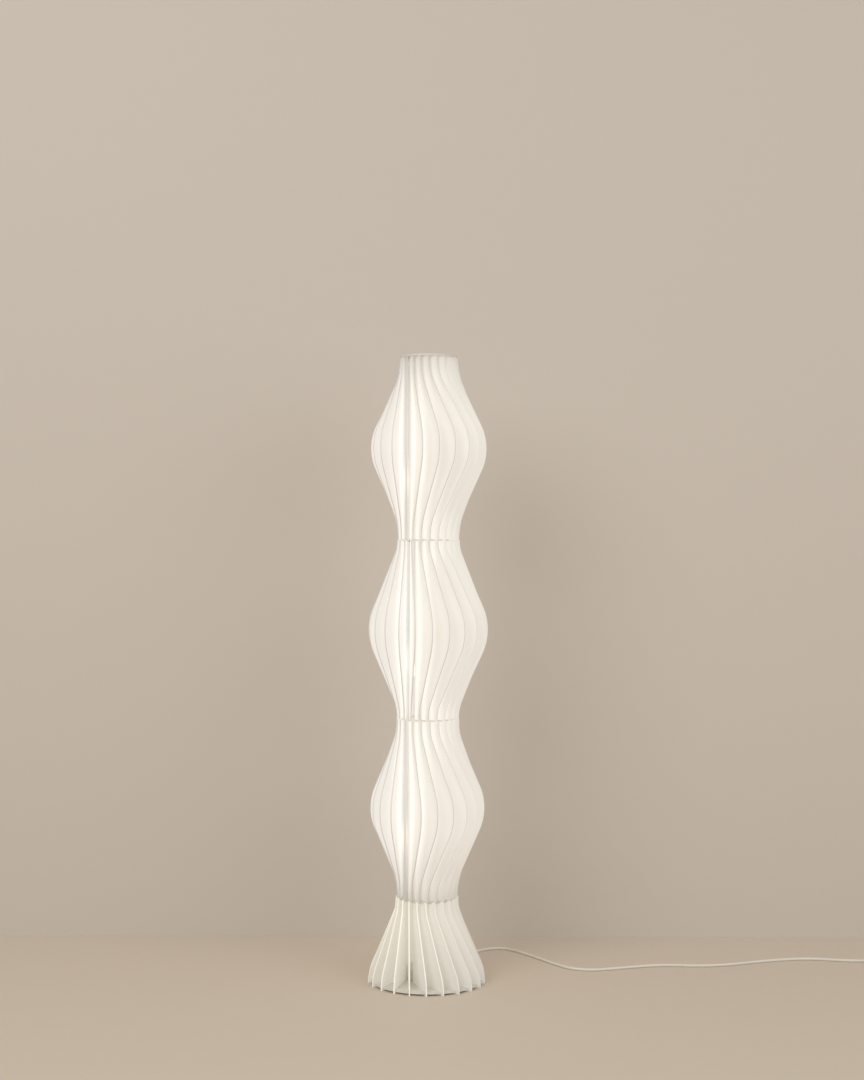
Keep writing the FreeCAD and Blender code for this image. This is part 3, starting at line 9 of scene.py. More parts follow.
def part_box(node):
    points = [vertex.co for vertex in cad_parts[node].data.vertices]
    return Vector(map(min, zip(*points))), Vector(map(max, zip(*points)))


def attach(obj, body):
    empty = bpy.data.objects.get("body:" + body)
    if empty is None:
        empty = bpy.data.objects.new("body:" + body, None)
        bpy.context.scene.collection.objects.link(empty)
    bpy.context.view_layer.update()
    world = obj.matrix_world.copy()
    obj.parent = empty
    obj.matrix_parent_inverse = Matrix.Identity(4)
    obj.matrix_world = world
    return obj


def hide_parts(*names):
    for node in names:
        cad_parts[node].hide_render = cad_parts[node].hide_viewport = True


bl_info = {
    "name": "Finned floor lamp",
    "version": (1, 0, 0),
    "blender": (4, 5, 0),
    "location": "View3D > Sidebar > Floor lamp",
    "description": "Builds the looks of a floor lamp with tiers of opal fins",
    "category": "Object",
}

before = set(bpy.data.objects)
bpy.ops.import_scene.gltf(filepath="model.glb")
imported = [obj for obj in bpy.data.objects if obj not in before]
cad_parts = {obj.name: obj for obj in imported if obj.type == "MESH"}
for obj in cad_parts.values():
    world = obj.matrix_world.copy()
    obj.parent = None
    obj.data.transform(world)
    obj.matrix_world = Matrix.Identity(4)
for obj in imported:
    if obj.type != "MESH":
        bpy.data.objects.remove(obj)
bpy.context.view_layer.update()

MM = 0.001
LIT_TIERS = ("lower", "middle", "upper")
# From the axis: the fins' inner edge, their outer one at a tier's necks, and how far out at the
# bulge the glow has faded to its least
FIN_INNER_RADIUS = 0.057
NECK_RADIUS = 0.073
BULGE_FADED_RADIUS = 0.103
FOOT_HEIGHT = 0.2035
# How far past zero a product of place and normal has to be, to tell a fin's sides apart
SIDE_MARGIN = 0.002
# Waves per metre of a cast sheet's slow clouds, and of the satin face's grit, which is drawn
# 0.8 mm across so that it shows
CLOUD_SCALE = 9.0
GRIT_SCALE = 1250.0
GRIT_DEPTH = 0.00003
ACRYLIC_IOR = 1.49
ABS_IOR = 1.53
GLASS_IOR = 1.5

# The mains cord from its boot to the foot switch, in millimetres, as its solid runs
CORD_RUN = (
    (60.21, 144.38, 20.0),
    (63.85, 178.19, 20.0),
    (73.5, 215.0, 12.0),
    (91.0, 252.0, 3.5),
    (134.0, 285.0, 3.5),
    (175.0, 314.0, 3.5),
    (217.0, 300.0, 3.5),
    (247.0, 260.0, 3.5),
    (285.0, 206.0, 3.5),
    (320.0, 150.0, 3.5),
    (355.0, 108.0, 3.5),
    (400.0, 94.0, 3.5),
    (455.0, 107.0, 3.5),
    (520.0, 131.0, 3.5),
    (590.0, 147.0, 3.5),
    (680.0, 138.0, 3.5),
    (755.0, 152.0, 3.5),
    (830.0, 183.0, 3.5),
    (905.0, 207.0, 3.5),
    (975.0, 216.0, 3.5),
    (1045.0, 198.0, 3.5),
    (1100.0, 194.0, 3.5),
    (1128.0, 196.0, 8.0),
    (1150.0, 196.0, 8.0),
)
# From the switch to the coil, and from the coil to the plug
CORD_LINK = (
    (1254.0, 196.0, 8.0),
    (1276.0, 196.0, 8.0),
    (1300.0, 184.0, 5.0),
    (1311.0, 160.0, 3.5),
    (1311.0, 134.0, 3.5),
    (1311.0, 112.0, 3.5),
)
CORD_TAIL = (
    (1246.0, 60.8, 11.3),
    (1226.0, 60.8, 11.3),
    (1203.0, 59.4, 8.5),
    (1182.0, 58.0, 7.0),
    (1160.0, 58.0, 7.0),
)
COIL_CENTRE = (1262.0, 106.0)
COIL_STEP = 3.9
# The coil's radius, in steps beyond its least one, at each half turn
COIL_STEPS = (4, 2, 2, 0, 0, 2, 2, 4)
COIL_POINTS_A_HALF = 6
COIL_LAST_POINT = 39
# The cord's middle when it lies on the floor, and how much higher it lies on the lower layer
CORD_REST_HEIGHT = 3.5
COIL_LAYER_RISE = 7.8
COIL_CLIMB_START = 3
COIL_CLIMB_HALVES = 0.5
# How far inside control points thirty degrees apart a spline of this order lies
SPLINE_SHRINK = 0.966

# The stage: a floor and a backdrop of one size, and the soft lights and camera, in metres
STAGE_SIZE = 12.0
BACKDROP_PLACE = (0.0, 0.45, 5.9)
BACKDROP_TURN = 0.3
LIGHT_AIM = (0.0, 0.0, 0.7)
LIGHT_SIZE = 2.6
KEY_PLACE = (-2.2, -3.4, 3.2)
FILL_PLACE = (2.8, -3.0, 2.0)
FILL_SHARE = 0.5
CAMERA_PLACE = (0.00856, -3.992, 1.058)
CAMERA_LEAN = 0.225


# ---------------------------------------------------------------- colours and nodes
def srgb(code):
    """A hex sRGB colour as linear red, green, blue and alpha."""
    parts = [int(code[i:i + 2], 16) / 255 for i in (1, 3, 5)]
    linear = [c / 12.92 if c <= 0.04045 else ((c + 0.055) / 1.055) ** 2.4 for c in parts]
    return (*linear, 1.0)


def feed(tree, node, inputs):
    """Sets a node's inputs, or links them where a socket or a node's first output feeds them."""
    for name, value in inputs.items():
        if isinstance(value, bpy.types.Node):
            value = value.outputs[0]
        if isinstance(value, bpy.types.NodeSocket):
            tree.links.new(value, node.inputs[name])
        else:
            node.inputs[name].default_value = value


def add_node(tree, kind, inputs=None, **settings):
    """Adds a node, sets what it is, and feeds its inputs."""
    node = tree.nodes.new(kind)
    for name, value in settings.items():
        setattr(node, name, value)
    feed(tree, node, inputs or {})
    return node


def start_material(name):
    """A new material with a Principled shader: the material, its tree, shader and coordinates."""
    material = bpy.data.materials.new(name)
    material.use_nodes = True
    tree = material.node_tree
    tree.nodes.clear()
    shader = add_node(tree, "ShaderNodeBsdfPrincipled")
    add_node(tree, "ShaderNodeOutputMaterial", {"Surface": shader})
    coordinates = add_node(tree, "ShaderNodeTexCoord")
    return material, tree, shader, coordinates


def add_grain(tree, shader, place, roughness, grain_mm, bump_mm):
    """Gives a shader a fine grain that lifts the surface and roughens it."""
    grain = add_node(tree, "ShaderNodeTexNoise",
                     {"Vector": place, "Scale": 1000 / grain_mm, "Detail": 2.0})
    rough = add_node(tree, "ShaderNodeMapRange", {
        "Value": grain, "From Min": 0.3, "From Max": 0.7,
        "To Min": roughness[0], "To Max": roughness[1]})
    bump = add_node(tree, "ShaderNodeBump", {
        "Height": grain, "Distance": bump_mm * MM, "Strength": 0.6})
    feed(tree, shader, {"Roughness": rough, "Normal": bump})


def surface(name, colours, roughness, grain_mm, bump_mm, metallic=0.0, patch_mm=60.0, ior=None,
            glow=0.0):
    """A material whose colour drifts between two shades in patches, with a fine grain, and a
    painted glow, in its first shade, for light that soaks through it."""
    material, tree, shader, coordinates = start_material(name)
    place = coordinates.outputs["Object"]
    patches = add_node(tree, "ShaderNodeTexNoise",
                       {"Vector": place, "Scale": 1000 / patch_mm, "Detail": 3.0})
    shade = add_node(tree, "ShaderNodeMix", {
        "Factor": patches, 6: srgb(colours[0]), 7: srgb(colours[1])}, data_type="RGBA")
    add_grain(tree, shader, place, roughness, grain_mm, bump_mm)
    feed(tree, shader, {"Base Color": shade.outputs[2], "Metallic": metallic})
    if glow:
        feed(tree, shader, {"Emission Color": srgb(colours[0]), "Emission Strength": glow})
    if ior:
        feed(tree, shader, {"IOR": ior})
    return material


def stage_paint(name, colour, roughness):
    """Matt paint of one colour for the stage: its tree and shader come too."""
    material, tree, shader, coordinates = start_material(name)
    add_grain(tree, shader, coordinates.outputs["Object"], roughness, grain_mm=40.0, bump_mm=0.1)
    feed(tree, shader, {"Base Color": (*colour, 1.0)})
    return material, tree, shader


# ---------------------------------------------------------------- materials
def fin_sides(tree, coordinates):
    """Which side of a fin a point is on.  Returns its distance from the axis, 1 where it faces
    the axis, and 1 on the fin's outer edge.  A fin's sheet misses the axis on the same side all
    round, so the signs of two products of place and normal tell its four sides apart."""
    flat = add_node(tree, "ShaderNodeVectorMath", {
        0: coordinates.outputs["Object"], 1: (1.0, 1.0, 0.0)}, operation="MULTIPLY")
    facing = coordinates.outputs["Normal"]
    out = add_node(tree, "ShaderNodeVectorMath", {0: flat, 1: facing}, operation="DOT_PRODUCT")
    round_axis = add_node(tree, "ShaderNodeVectorMath", {0: flat, 1: facing},
                          operation="CROSS_PRODUCT")
    turn = add_node(tree, "ShaderNodeSeparateXYZ", {0: round_axis})
    radius = add_node(tree, "ShaderNodeVectorMath", {0: flat}, operation="LENGTH")
    inward = add_node(tree, "ShaderNodeMath", {0: out.outputs["Value"], 1: 0.0},
                      operation="LESS_THAN")
    outward = add_node(tree, "ShaderNodeMath", {0: out.outputs["Value"], 1: SIDE_MARGIN},
                       operation="GREATER_THAN")
    onward = add_node(tree, "ShaderNodeMath", {0: turn.outputs["Z"], 1: SIDE_MARGIN},
                      operation="GREATER_THAN")
    edge = add_node(tree, "ShaderNodeMath", {0: outward, 1: onward}, operation="MULTIPLY")
    return radius.outputs["Value"], inward, edge


def satin_face(tree, shader, place):
    """Gives a shader the satin face of cast acrylic, in slow clouds about a hand across under a
    fine grit, and returns the clouds."""
    cloud = add_node(tree, "ShaderNodeTexNoise",
                     {"Vector": place, "Scale": CLOUD_SCALE, "Detail": 2.0})
    grit = add_node(tree, "ShaderNodeTexNoise",
                    {"Vector": place, "Scale": GRIT_SCALE, "Detail": 1.0})
    bump = add_node(tree, "ShaderNodeBump", {
        "Height": grit, "Distance": GRIT_DEPTH, "Strength": 0.5})
    rough = add_node(tree, "ShaderNodeMapRange", {"Value": cloud, "To Min": 0.40, "To Max": 0.52})
    feed(tree, shader, {"Roughness": rough, "Normal": bump, "IOR": ACRYLIC_IOR})
    return cloud


def opal_sheet(name, looks, low, high, low_level, high_level):
    """Cast opal acrylic sheet, satin on both faces, with a painted glow standing in for the
    bulbs' light soaking through it: it glows most deep in the tier, fades towards its outer edge,
    and least at its sawn edge."""
    material, tree, shader, coordinates = start_material(name)
    place = coordinates.outputs["Object"]
    radius, inward, edge = fin_sides(tree, coordinates)
    height = add_node(tree, "ShaderNodeSeparateXYZ", {0: place}).outputs["Z"]

    # How far up the tier, from 0 at its foot to 1 at its top, and how far it swells out there
    rise = add_node(tree, "ShaderNodeMapRange", {
        "Value": height, "From Min": low, "From Max": high})
    half_turn = add_node(tree, "ShaderNodeMath", {0: rise, 1: math.pi}, operation="MULTIPLY")
    wave = add_node(tree, "ShaderNodeMath", {0: half_turn}, operation="SINE")
    swell = add_node(tree, "ShaderNodeMath", {0: wave, 1: wave}, operation="MULTIPLY")
    outer = add_node(tree, "ShaderNodeMath", {
        0: swell, 1: BULGE_FADED_RADIUS - NECK_RADIUS, 2: NECK_RADIUS}, operation="MULTIPLY_ADD")
    across = add_node(tree, "ShaderNodeMapRange", {
        "Value": radius, "From Min": FIN_INNER_RADIUS, "From Max": outer})
    fade = add_node(tree, "ShaderNodeMapRange", {
        "Value": across, "From Min": 0.3, "To Min": 1.0, "To Max": 1.0 - looks.fade})
    # Painted shade: deepest in the tier, at the inner edge, the glow is dimmed to the core level,
    # for the shade of the neighbouring fins
    depth = add_node(tree, "ShaderNodeMapRange", {
        "Value": across, "From Max": 0.45, "To Min": looks.core_shade_level, "To Max": 1.0})
    # Painted shade: the glow dims towards the necks, which stand farther from the bulbs
    near_bulbs = add_node(tree, "ShaderNodeMath", {0: swell, 1: 0.35}, operation="POWER")
    neck_level = add_node(tree, "ShaderNodeMath", {
        0: rise, 1: high_level - low_level, 2: low_level}, operation="MULTIPLY_ADD")
    level = add_node(tree, "ShaderNodeMapRange", {"Value": near_bulbs, "To Min": neck_level})
    own = add_node(tree, "ShaderNodeMath", {0: fade, 1: depth}, operation="MULTIPLY")
    falloff = add_node(tree, "ShaderNodeMath", {0: own, 1: level}, operation="MULTIPLY")

    # Painted light by side: the face towards the axis glows as if lit, the one away from it as if
    # lit through the sheet, and the sawn edge lets out the least
    face = add_node(tree, "ShaderNodeMath", {
        0: inward, 1: looks.lit_face - looks.far_face, 2: looks.far_face},
        operation="MULTIPLY_ADD")
    side = add_node(tree, "ShaderNodeMath", {
        0: edge, 1: looks.edge_glow - looks.far_face, 2: face}, operation="MULTIPLY_ADD")
    even = add_node(tree, "ShaderNodeMath", {0: falloff, 1: side}, operation="MULTIPLY")
    cloud = satin_face(tree, shader, place)
    uneven = add_node(tree, "ShaderNodeMapRange", {
        "Value": cloud, "From Min": 0.3, "From Max": 0.7, "To Min": 0.97, "To Max": 1.03})
    glow = add_node(tree, "ShaderNodeMath", {0: even, 1: uneven}, operation="MULTIPLY")
    # Painted glow colour: whiter near the bulbs and on the faces towards the axis, warmer far
    # from them
    white = add_node(tree, "ShaderNodeMath", {0: falloff, 1: inward}, operation="MAXIMUM")
    tint = add_node(tree, "ShaderNodeMix", {
        "Factor": white, 6: (*looks.far_tint, 1.0), 7: (*looks.near_tint, 1.0)},
        data_type="RGBA")
    feed(tree, shader, {"Base Color": (*looks.sheet, 1.0), "Emission Color": tint.outputs[2],
                        "Emission Strength": glow})
    return material


def unlit_sheet(name, looks):
    """The same opal acrylic where no bulb stands behind it: plain, with a painted glow for the
    trace of light from the tier above, most at its top, on its inner faces and along its sawn
    edges."""
    material, tree, shader, coordinates = start_material(name)
    place = coordinates.outputs["Object"]
    _, inward, edge = fin_sides(tree, coordinates)
    height = add_node(tree, "ShaderNodeSeparateXYZ", {0: place}).outputs["Z"]
    spill = add_node(tree, "ShaderNodeMapRange", {
        "Value": height, "From Max": FOOT_HEIGHT,
        "To Min": looks.foot_glow * 0.6, "To Max": looks.foot_glow})
    faces = add_node(tree, "ShaderNodeMath", {0: inward, 1: looks.foot_glow * 0.4, 2: spill},
                     operation="MULTIPLY_ADD")
    glow = add_node(tree, "ShaderNodeMath", {0: edge, 1: looks.foot_edge_glow, 2: faces},
                    operation="MULTIPLY_ADD")
    satin_face(tree, shader, place)
    feed(tree, shader, {"Base Color": (*looks.foot_sheet, 1.0),
                        "Emission Color": (*looks.foot_tint, 1.0), "Emission Strength": glow})
    return material


def opal_glass(name, looks):
    """Opal glass bulb, lit: white all over, its glow drifting a little in soft clouds."""
    material, tree, shader, coordinates = start_material(name)
    cloud = add_node(tree, "ShaderNodeTexNoise", {
        "Vector": coordinates.outputs["Object"], "Scale": 40.0, "Detail": 1.0})
    glow = add_node(tree, "ShaderNodeMapRange", {
        "Value": cloud, "To Min": looks.bulb_glow * 0.94, "To Max": looks.bulb_glow * 1.06})
    feed(tree, shader, {"Base Color": srgb("#F6F2E8"), "Emission Color": srgb("#FFF3DC"),
                        "Roughness": 0.12, "IOR": GLASS_IOR, "Emission Strength": glow})
    return material


def paint(material, *nodes):
    """Gives CAD nodes their material."""
    for name in nodes:
        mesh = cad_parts[name].data
        mesh.materials.clear()
        mesh.materials.append(material)


# ---------------------------------------------------------------- settings
class OpalLooks(bpy.types.PropertyGroup):
    """How the opal fins' painted glow and painted shade look, and how bright the bulbs are."""

    # The lit tiers' sheet is darker than the foot's, the same acrylic: the painted glow on it
    # makes up the rest of its brightness
    sheet: bpy.props.FloatVectorProperty(
        name="Lit sheet", description="Colour of the lit tiers' sheet without its glow",
        subtype="COLOR", size=3, default=srgb("#B9B6B0")[:3])
    foot_sheet: bpy.props.FloatVectorProperty(
        name="Foot sheet", description="Colour of the foot's sheet",
        subtype="COLOR", size=3, default=srgb("#DAD9D3")[:3])
    near_tint: bpy.props.FloatVectorProperty(
        name="Near glow", description="Colour of the glow close to the bulbs",
        subtype="COLOR", size=3, default=srgb("#FFFCF9")[:3])
    far_tint: bpy.props.FloatVectorProperty(
        name="Far glow", description="Colour of the glow far from the bulbs",
        subtype="COLOR", size=3, default=srgb("#FFF0D2")[:3])
    foot_tint: bpy.props.FloatVectorProperty(
        name="Foot tint", description="Colour of the light that reaches the foot's fins",
        subtype="COLOR", size=3, default=srgb("#FFF6E7")[:3])
    fade: bpy.props.FloatProperty(
        name="Fade", description="How much of the glow a fin loses out to its edge",
        default=0.32, min=0.0, max=1.0)
    # Painted shade: the fins' glow is dimmed to this share at their inner edge
    core_shade_level: bpy.props.FloatProperty(
        name="Core level", description="A sheet's own glow at its inner edge", default=0.55,
        min=0.0)
    waist_level: bpy.props.FloatProperty(
        name="Waist level", description="Glow where two lit tiers meet, beside that at the bulge",
        default=0.95, min=0.0)
    end_level: bpy.props.FloatProperty(
        name="End level", description="Glow at the top and above the foot, beside the bulge's",
        default=0.52, min=0.0)
    lit_face: bpy.props.FloatProperty(
        name="Lit face", description="Glow of the faces towards the axis", default=0.68, min=0.0)
    far_face: bpy.props.FloatProperty(
        name="Far face", description="Glow of the faces away from the axis",
        default=0.65, min=0.0)
    edge_glow: bpy.props.FloatProperty(
        name="Edge glow", description="Glow of the outer edges", default=0.45, min=0.0)
    foot_glow: bpy.props.FloatProperty(
        name="Foot glow", description="Light that reaches the foot's fins", default=0.22,
        min=0.0)
    foot_edge_glow: bpy.props.FloatProperty(
        name="Foot edge glow", description="Extra glow of the foot's edges", default=0.2,
        min=0.0)
    bulb_glow: bpy.props.FloatProperty(
        name="Bulb glow", description="Brightness of the bulbs", default=1.05, min=0.0)


class CordSizes(bpy.types.PropertyGroup):
    """Sizes and colour of the mains cord."""

    diameter: bpy.props.FloatProperty(
        name="Diameter", description="Diameter of the round cord", default=0.007, min=0.004,
        unit="LENGTH")
    coil_radius: bpy.props.FloatProperty(
        name="Coil radius", description="Least radius of the put-away coil", default=0.0335,
        min=0.02, unit="LENGTH")
    colour: bpy.props.FloatVectorProperty(
        name="Cord colour", description="Colour of the cord's sheath", subtype="COLOR", size=3,
        default=srgb("#E9E3D6")[:3])


class StageLooks(bpy.types.PropertyGroup):
    """Floor, backdrop, lights and camera."""

    floor: bpy.props.FloatVectorProperty(
        name="Floor", description="Colour of the floor", subtype="COLOR", size=3,
        default=srgb("#DBCDBB")[:3])
    wall: bpy.props.FloatVectorProperty(
        name="Backdrop", description="Colour of the backdrop", subtype="COLOR", size=3,
        default=srgb("#D2C8BC")[:3])
    key: bpy.props.FloatProperty(
        name="Key light", description="Power of the large soft light", default=60.0, min=0.0,
        unit="POWER")
    sky: bpy.props.FloatProperty(
        name="Ambient light", description="Strength of the even light all round", default=0.55,
        min=0.0)
    lens: bpy.props.FloatProperty(
        name="Lens", description="Focal length of the camera, in millimetres", default=55.47,
        min=10.0)


# ---------------------------------------------------------------- operators
class LAMP_OT_fins(bpy.types.Operator):
    """Give the four rings of fins their opal sheet"""

    bl_idname = "lamp.fins"
    bl_label = "Opal fins"

    def execute(self, context):
        opal = context.scene.lamp_opal
        for tier in LIT_TIERS:
            low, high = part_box(tier + "_fins")
            # Painted shade: the glow dims more at the lamp's top and above the foot than where
            # two lit tiers meet
            low_level = opal.end_level if tier == LIT_TIERS[0] else opal.waist_level
            high_level = opal.end_level if tier == LIT_TIERS[-1] else opal.waist_level
            sheet = opal_sheet(f"cast_opal_acrylic_{tier}", opal, low.z, high.z, low_level,
                               high_level)
            paint(sheet, tier + "_fins")
        paint(unlit_sheet("cast_opal_acrylic_foot", opal), "foot_fins")
        return {"FINISHED"}


class LAMP_OT_rings(bpy.types.Operator):
    """Give the ring plates between the tiers their white sheet"""

    bl_idname = "lamp.rings"
    bl_label = "Ring plates"

    def execute(self, context):
        # Cast white acrylic, laser cut: satin, with a painted glow for the little light from the
        # tiers that soaks through, stronger on the waist plates between two lit tiers than on the
        # end plates
        ends = ("foot_disc", "lower_bottom_ring", "upper_top_ring")
        waists = ("lower_top_ring", "middle_bottom_ring", "middle_top_ring", "upper_bottom_ring")
        for name, glow, plates in (("end", 0.08, ends), ("waist", 0.22, waists)):
            white = surface("cast_white_acrylic_" + name, ("#DAD5CC", "#D2CCC1"), (0.38, 0.5),
                            0.9, 0.02, ior=ACRYLIC_IOR, glow=glow)
            paint(white, *plates)
        return {"FINISHED"}


class LAMP_OT_foot(bpy.types.Operator):
    """Give the base plate, its feet and the ballast their finishes"""

    bl_idname = "lamp.foot"
    bl_label = "Foot"

    def execute(self, context):
        # Powder-coated steel: even white with a fine orange peel, drawn 1.5 mm across
        coat = surface("powder_coated_steel", ("#E6E3DA", "#DFDBD1"), (0.42, 0.55), 1.5, 0.05)
        paint(coat, "base_plate")
        # Moulded rubber: dark grey and matt
        rubber = surface("moulded_rubber", ("#2B2B2B", "#343433"), (0.75, 0.88), 1.0, 0.04)
        paint(rubber, "rubber_feet")
        # Cast iron under a pale grey primer: grainy, dull
        iron = surface("primed_cast_iron", ("#DEDBD3", "#D5D2C9"), (0.55, 0.7), 1.8, 0.15)
        paint(iron, "ballast")
        return {"FINISHED"}


class LAMP_OT_hardware(bpy.types.Operator):
    """Give the mast, spider, brackets and fasteners their finishes"""

    bl_idname = "lamp.hardware"
    bl_label = "Mast and fasteners"

    def execute(self, context):
        # White enamel on steel tube and pressings: smooth, soft gloss
        enamel = surface("enamelled_steel", ("#E8E5DC", "#E1DDD3"), (0.28, 0.36), 1.2, 0.02)
        paint(enamel, "mast_tube", "mast_flange", "top_spider", "thumb_screw",
              *[tier + "_lamp_bracket" for tier in LIT_TIERS])
        # Zinc-plated steel: grey, faintly mottled
        zinc = surface("zinc_plated_steel", ("#B9BABB", "#A6A8AA"), (0.28, 0.42), 0.6, 0.01,
                       metallic=1.0, patch_mm=4.0)
        paint(zinc, "joint_screws", "joint_nuts", "foot_screws", "flange_screws", "set_screws",
              "spider_screws", "clamp_screws", "holder_nuts", "foot_switch_screws")
        # Turned brass: yellow, fine tool marks
        brass = surface("turned_brass", ("#C6A45A", "#B8964E"), (0.25, 0.36), 0.4, 0.01,
                        metallic=1.0, patch_mm=5.0)
        paint(brass, "mast_insert", "holder_nipples")
        return {"FINISHED"}


class LAMP_OT_bulbs(bpy.types.Operator):
    """Give the lampholders, bulbs and leads their finishes"""

    bl_idname = "lamp.bulbs"
    bl_label = "Bulbs and holders"

    def execute(self, context):
        # Moulded white heat-proof plastic: satin
        holder = surface("moulded_polyester", ("#EAE7DF", "#E3E0D7"), (0.42, 0.52), 0.9, 0.02)
        paint(holder, *[tier + "_lampholders" for tier in LIT_TIERS])
        # Pressed aluminium cap: pale and dull
        cap = surface("pressed_aluminium", ("#C9CACB", "#B9BABC"), (0.3, 0.42), 0.5, 0.01,
                      metallic=1.0, patch_mm=4.0)
        paint(cap, *[tier + "_bulb_caps" for tier in LIT_TIERS])
        glass = opal_glass("opal_bulb_glass", context.scene.lamp_opal)
        paint(glass, *[tier + "_bulbs" for tier in LIT_TIERS])
        # Soft PVC insulation: white, slightly waxy
        wire = surface("soft_pvc_lead", ("#E4E0D6", "#DCD8CD"), (0.45, 0.55), 0.8, 0.02)
        paint(wire, "lamp_leads", "inner_lead")
        return {"FINISHED"}


class LAMP_OT_wiring(bpy.types.Operator):
    """Give the cord clamp and the terminal box their finishes"""

    bl_idname = "lamp.wiring"
    bl_label = "Wiring in the foot"

    def execute(self, context):
        # Moulded nylon: off-white, matt from a sparked mould
        nylon = surface("moulded_nylon", ("#E5E3DC", "#DEDBD3"), (0.5, 0.62), 0.7, 0.03)
        paint(nylon, "cord_clamp_base", "cord_clamp_cap", "terminal_box", "terminal_lid")
        # Ivory polyamide of terminal and switch blocks
        ivory = surface("ivory_polyamide", ("#D9D0B6", "#D2C8AC"), (0.45, 0.55), 0.7, 0.02)
        paint(ivory, "terminal_block", "foot_switch_block")
        return {"FINISHED"}


def sheath_material(colour):
    """Soft PVC sheath: cream, waxy, with a faint drawn grain along the cord."""
    material, tree, shader, coordinates = start_material("soft_pvc_sheath")
    place = coordinates.outputs["Object"]
    scuffs = add_node(tree, "ShaderNodeTexNoise", {"Vector": place, "Scale": 25.0, "Detail": 4.0})
    darker = [c * 0.93 for c in colour]
    shade = add_node(tree, "ShaderNodeMix", {
        "Factor": scuffs, 6: (*colour, 1.0), 7: (*darker, 1.0)}, data_type="RGBA")
    grain = add_node(tree, "ShaderNodeTexNoise", {"Vector": place, "Scale": 900.0, "Detail": 1.0})
    bump = add_node(tree, "ShaderNodeBump", {
        "Height": grain, "Distance": 0.02 * MM, "Strength": 0.5})
    rough = add_node(tree, "ShaderNodeMapRange", {"Value": scuffs, "To Min": 0.36, "To Max": 0.5})
    feed(tree, shader, {"Base Color": shade.outputs[2], "Roughness": rough, "Normal": bump})
    return material


def coil_points(least):
    """Control points of the coil, twelve to a turn: clockwise from +X, inwards on the floor, up
    a layer in the quarter turn after the third half, then outwards on top."""
    points = []
    for index in range(1, COIL_LAST_POINT + 1):
        halves = index / COIL_POINTS_A_HALF
        whole = int(halves)
        steps = COIL_STEPS[whole] + (COIL_STEPS[whole + 1] - COIL_STEPS[whole]) * (halves - whole)
        radius = (least + steps * COIL_STEP) / SPLINE_SHRINK
        turn = math.pi * halves
        climb = min(max((halves - COIL_CLIMB_START) / COIL_CLIMB_HALVES, 0.0), 1.0)
        points.append((COIL_CENTRE[0] + radius * math.cos(turn),
                       COIL_CENTRE[1] - radius * math.sin(turn),
                       CORD_REST_HEIGHT + COIL_LAYER_RISE * climb))
    return points


def round_cord(name, points, diameter, material):
    """A round cord along a smooth spline with these control points, in millimetres."""
    curve = bpy.data.curves.new(name, "CURVE")
    curve.dimensions = "3D"
    spline = curve.splines.new("NURBS")
    spline.points.add(len(points) - 1)
    for control, point in zip(spline.points, points):
        control.co = (*[c * MM for c in point], 1.0)
    spline.order_u = 3
    spline.use_endpoint_u = True
    spline.resolution_u = 8
    curve.bevel_depth = diameter / 2
    curve.bevel_resolution = 5
    curve.use_fill_caps = True
    curve.materials.append(material)
    cord = bpy.data.objects.new(name, curve)
    bpy.context.scene.collection.objects.link(cord)
    return cord


class LAMP_OT_cord(bpy.types.Operator):
    """Lay the mains cord along the floor, with its coil, and finish its boot"""

    bl_idname = "lamp.cord"
    bl_label = "Mains cord"

    def execute(self, context):
        sizes = context.scene.lamp_cord
        sheath = sheath_material(tuple(sizes.colour))
        run = round_cord("mains_cord_run", CORD_RUN, sizes.diameter, sheath)
        rest = (*CORD_LINK, *coil_points(sizes.coil_radius / MM), *CORD_TAIL)
        coiled = round_cord("mains_cord_coiled", rest, sizes.diameter, sheath)
        for cord, nodes in ((run, ["cord_run"]),
                            (coiled, ["cord_link", "cord_coil", "cord_tail"])):
            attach(cord, "lamp")
            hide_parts(*nodes)
        # The boot is softer PVC with shallow moulded rings
        boot = surface("moulded_pvc_boot", ("#E6E0D3", "#DED7C9"), (0.45, 0.56), 0.8, 0.03)
        paint(boot, "cord_boot")
        paint(sheath, "cord_inlet", "cord_run", "cord_link", "cord_coil", "cord_tail")
        return {"FINISHED"}


class LAMP_OT_switch(bpy.types.Operator):
    """Give the foot switch and the mains plug their finishes"""

    bl_idname = "lamp.switch"
    bl_label = "Foot switch and plug"

    def execute(self, context):
        # Moulded ABS: white, soft gloss with a fine spark texture
        shell = surface("moulded_abs", ("#E7E4DB", "#E0DCD2"), (0.32, 0.44), 0.9, 0.03,
                        ior=ABS_IOR)
        paint(shell, "foot_switch_base", "foot_switch_cover")
        cap = surface("moulded_abs_button", ("#D9D5CA", "#D2CDC1"), (0.28, 0.38), 0.9, 0.02,
                      ior=ABS_IOR)
        paint(cap, "foot_switch_button")
        # Moulded PVC plug: cream and waxy
        plug = surface("moulded_pvc_plug", ("#E7E1D4", "#DFD9CB"), (0.42, 0.52), 0.9, 0.03)
        paint(plug, "plug_body")
        # Nickel-plated brass pins
        nickel = surface("nickel_plated_brass", ("#CFCAC0", "#C0BBB0"), (0.14, 0.24), 0.4, 0.005,
                         metallic=1.0, patch_mm=5.0)
        paint(nickel, "plug_pins")
        return {"FINISHED"}


def soft_light(name, place, power):
    """A large square white light aimed at the lamp's middle, and out of the camera's sight."""
    light = bpy.data.lights.new(name, "AREA")
    light.shape = "SQUARE"
    light.size = LIGHT_SIZE
    light.energy = power
    holder = bpy.data.objects.new(name, light)
    bpy.context.scene.collection.objects.link(holder)
    holder.location = place
    direction = Vector(LIGHT_AIM) - Vector(place)
    holder.rotation_euler = direction.to_track_quat("-Z", "Y").to_euler()
    holder.visible_camera = False


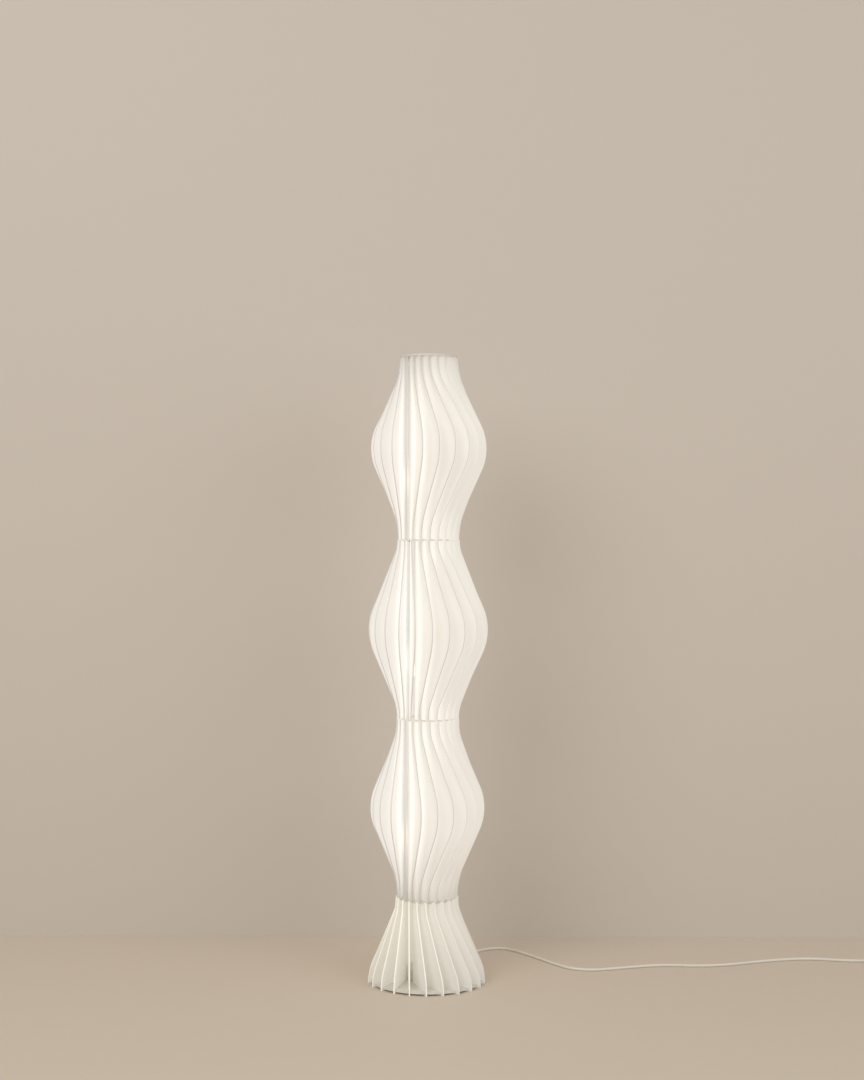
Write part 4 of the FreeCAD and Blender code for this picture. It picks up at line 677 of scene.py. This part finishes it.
class LAMP_OT_stage(bpy.types.Operator):
    """Set the floor, backdrop, lights and camera"""

    bl_idname = "lamp.stage"
    bl_label = "Stage"

    def execute(self, context):
        stage = context.scene.lamp_stage
        floor_paint, _, _ = stage_paint("matt_floor_paint", stage.floor, (0.6, 0.7))
        wall_paint, tree, shader = stage_paint("matt_wall_paint", stage.wall, (0.8, 0.9))
        # From behind, the backdrop lets the view through
        behind = add_node(tree, "ShaderNodeNewGeometry").outputs["Backfacing"]
        clear = add_node(tree, "ShaderNodeBsdfTransparent")
        seen = add_node(tree, "ShaderNodeMixShader", {0: behind, 1: shader, 2: clear})
        feed(tree, tree.nodes["Material Output"], {"Surface": seen})

        bpy.ops.object.select_all(action="DESELECT")
        bpy.ops.mesh.primitive_plane_add(size=STAGE_SIZE, location=(0.0, -1.0, 0.0))
        floor = context.active_object
        floor.name = "floor"
        floor.data.materials.append(floor_paint)
        bpy.ops.mesh.primitive_plane_add(
            size=STAGE_SIZE, location=BACKDROP_PLACE,
            rotation=(math.radians(90), 0, math.radians(BACKDROP_TURN)))
        wall = context.active_object
        wall.name = "backdrop"
        wall.data.materials.append(wall_paint)

        soft_light("key_light", KEY_PLACE, stage.key)
        soft_light("fill_light", FILL_PLACE, stage.key * FILL_SHARE)
        world = bpy.data.worlds.new("studio")
        context.scene.world = world
        world.use_nodes = True
        feed(world.node_tree, world.node_tree.nodes["Background"],
             {"Color": srgb("#FFFFFF"), "Strength": stage.sky})

        camera_data = bpy.data.cameras.new("camera")
        camera_data.lens = stage.lens
        camera_data.sensor_width = 36.0
        camera_data.clip_end = 50.0
        camera = bpy.data.objects.new("camera", camera_data)
        context.scene.collection.objects.link(camera)
        # Level, at the height of the upper waist, with the photograph's slight lean
        lean = Matrix.Rotation(math.radians(CAMERA_LEAN), 4, "Z")
        upright = Matrix.Rotation(math.radians(90), 4, "X")
        camera.matrix_world = Matrix.Translation(CAMERA_PLACE) @ upright @ lean
        context.scene.camera = camera
        context.scene.view_settings.view_transform = "Standard"
        return {"FINISHED"}


OPERATORS = (LAMP_OT_stage, LAMP_OT_cord, LAMP_OT_fins, LAMP_OT_rings, LAMP_OT_foot,
             LAMP_OT_hardware, LAMP_OT_bulbs, LAMP_OT_wiring, LAMP_OT_switch)
GROUPS = (OpalLooks, CordSizes, StageLooks)


class LAMP_PT_panel(bpy.types.Panel):
    """The lamp's pieces"""

    bl_idname = "LAMP_PT_panel"
    bl_label = "Floor lamp"
    bl_space_type = "VIEW_3D"
    bl_region_type = "UI"
    bl_category = "Floor lamp"

    def draw(self, context):
        for operator in OPERATORS:
            self.layout.operator(operator.bl_idname)


def register():
    for cls in (*GROUPS, *OPERATORS, LAMP_PT_panel):
        bpy.utils.register_class(cls)
    bpy.types.Scene.lamp_opal = bpy.props.PointerProperty(type=OpalLooks)
    bpy.types.Scene.lamp_cord = bpy.props.PointerProperty(type=CordSizes)
    bpy.types.Scene.lamp_stage = bpy.props.PointerProperty(type=StageLooks)


def unregister():
    del bpy.types.Scene.lamp_stage
    del bpy.types.Scene.lamp_cord
    del bpy.types.Scene.lamp_opal
    for cls in reversed((*GROUPS, *OPERATORS, LAMP_PT_panel)):
        bpy.utils.unregister_class(cls)


def main():
    """Builds the lamp's looks and its stage."""
    register()
    for operator in OPERATORS:
        group, name = operator.bl_idname.split(".")
        getattr(getattr(bpy.ops, group), name)()


if __name__ == "__main__":
    main()
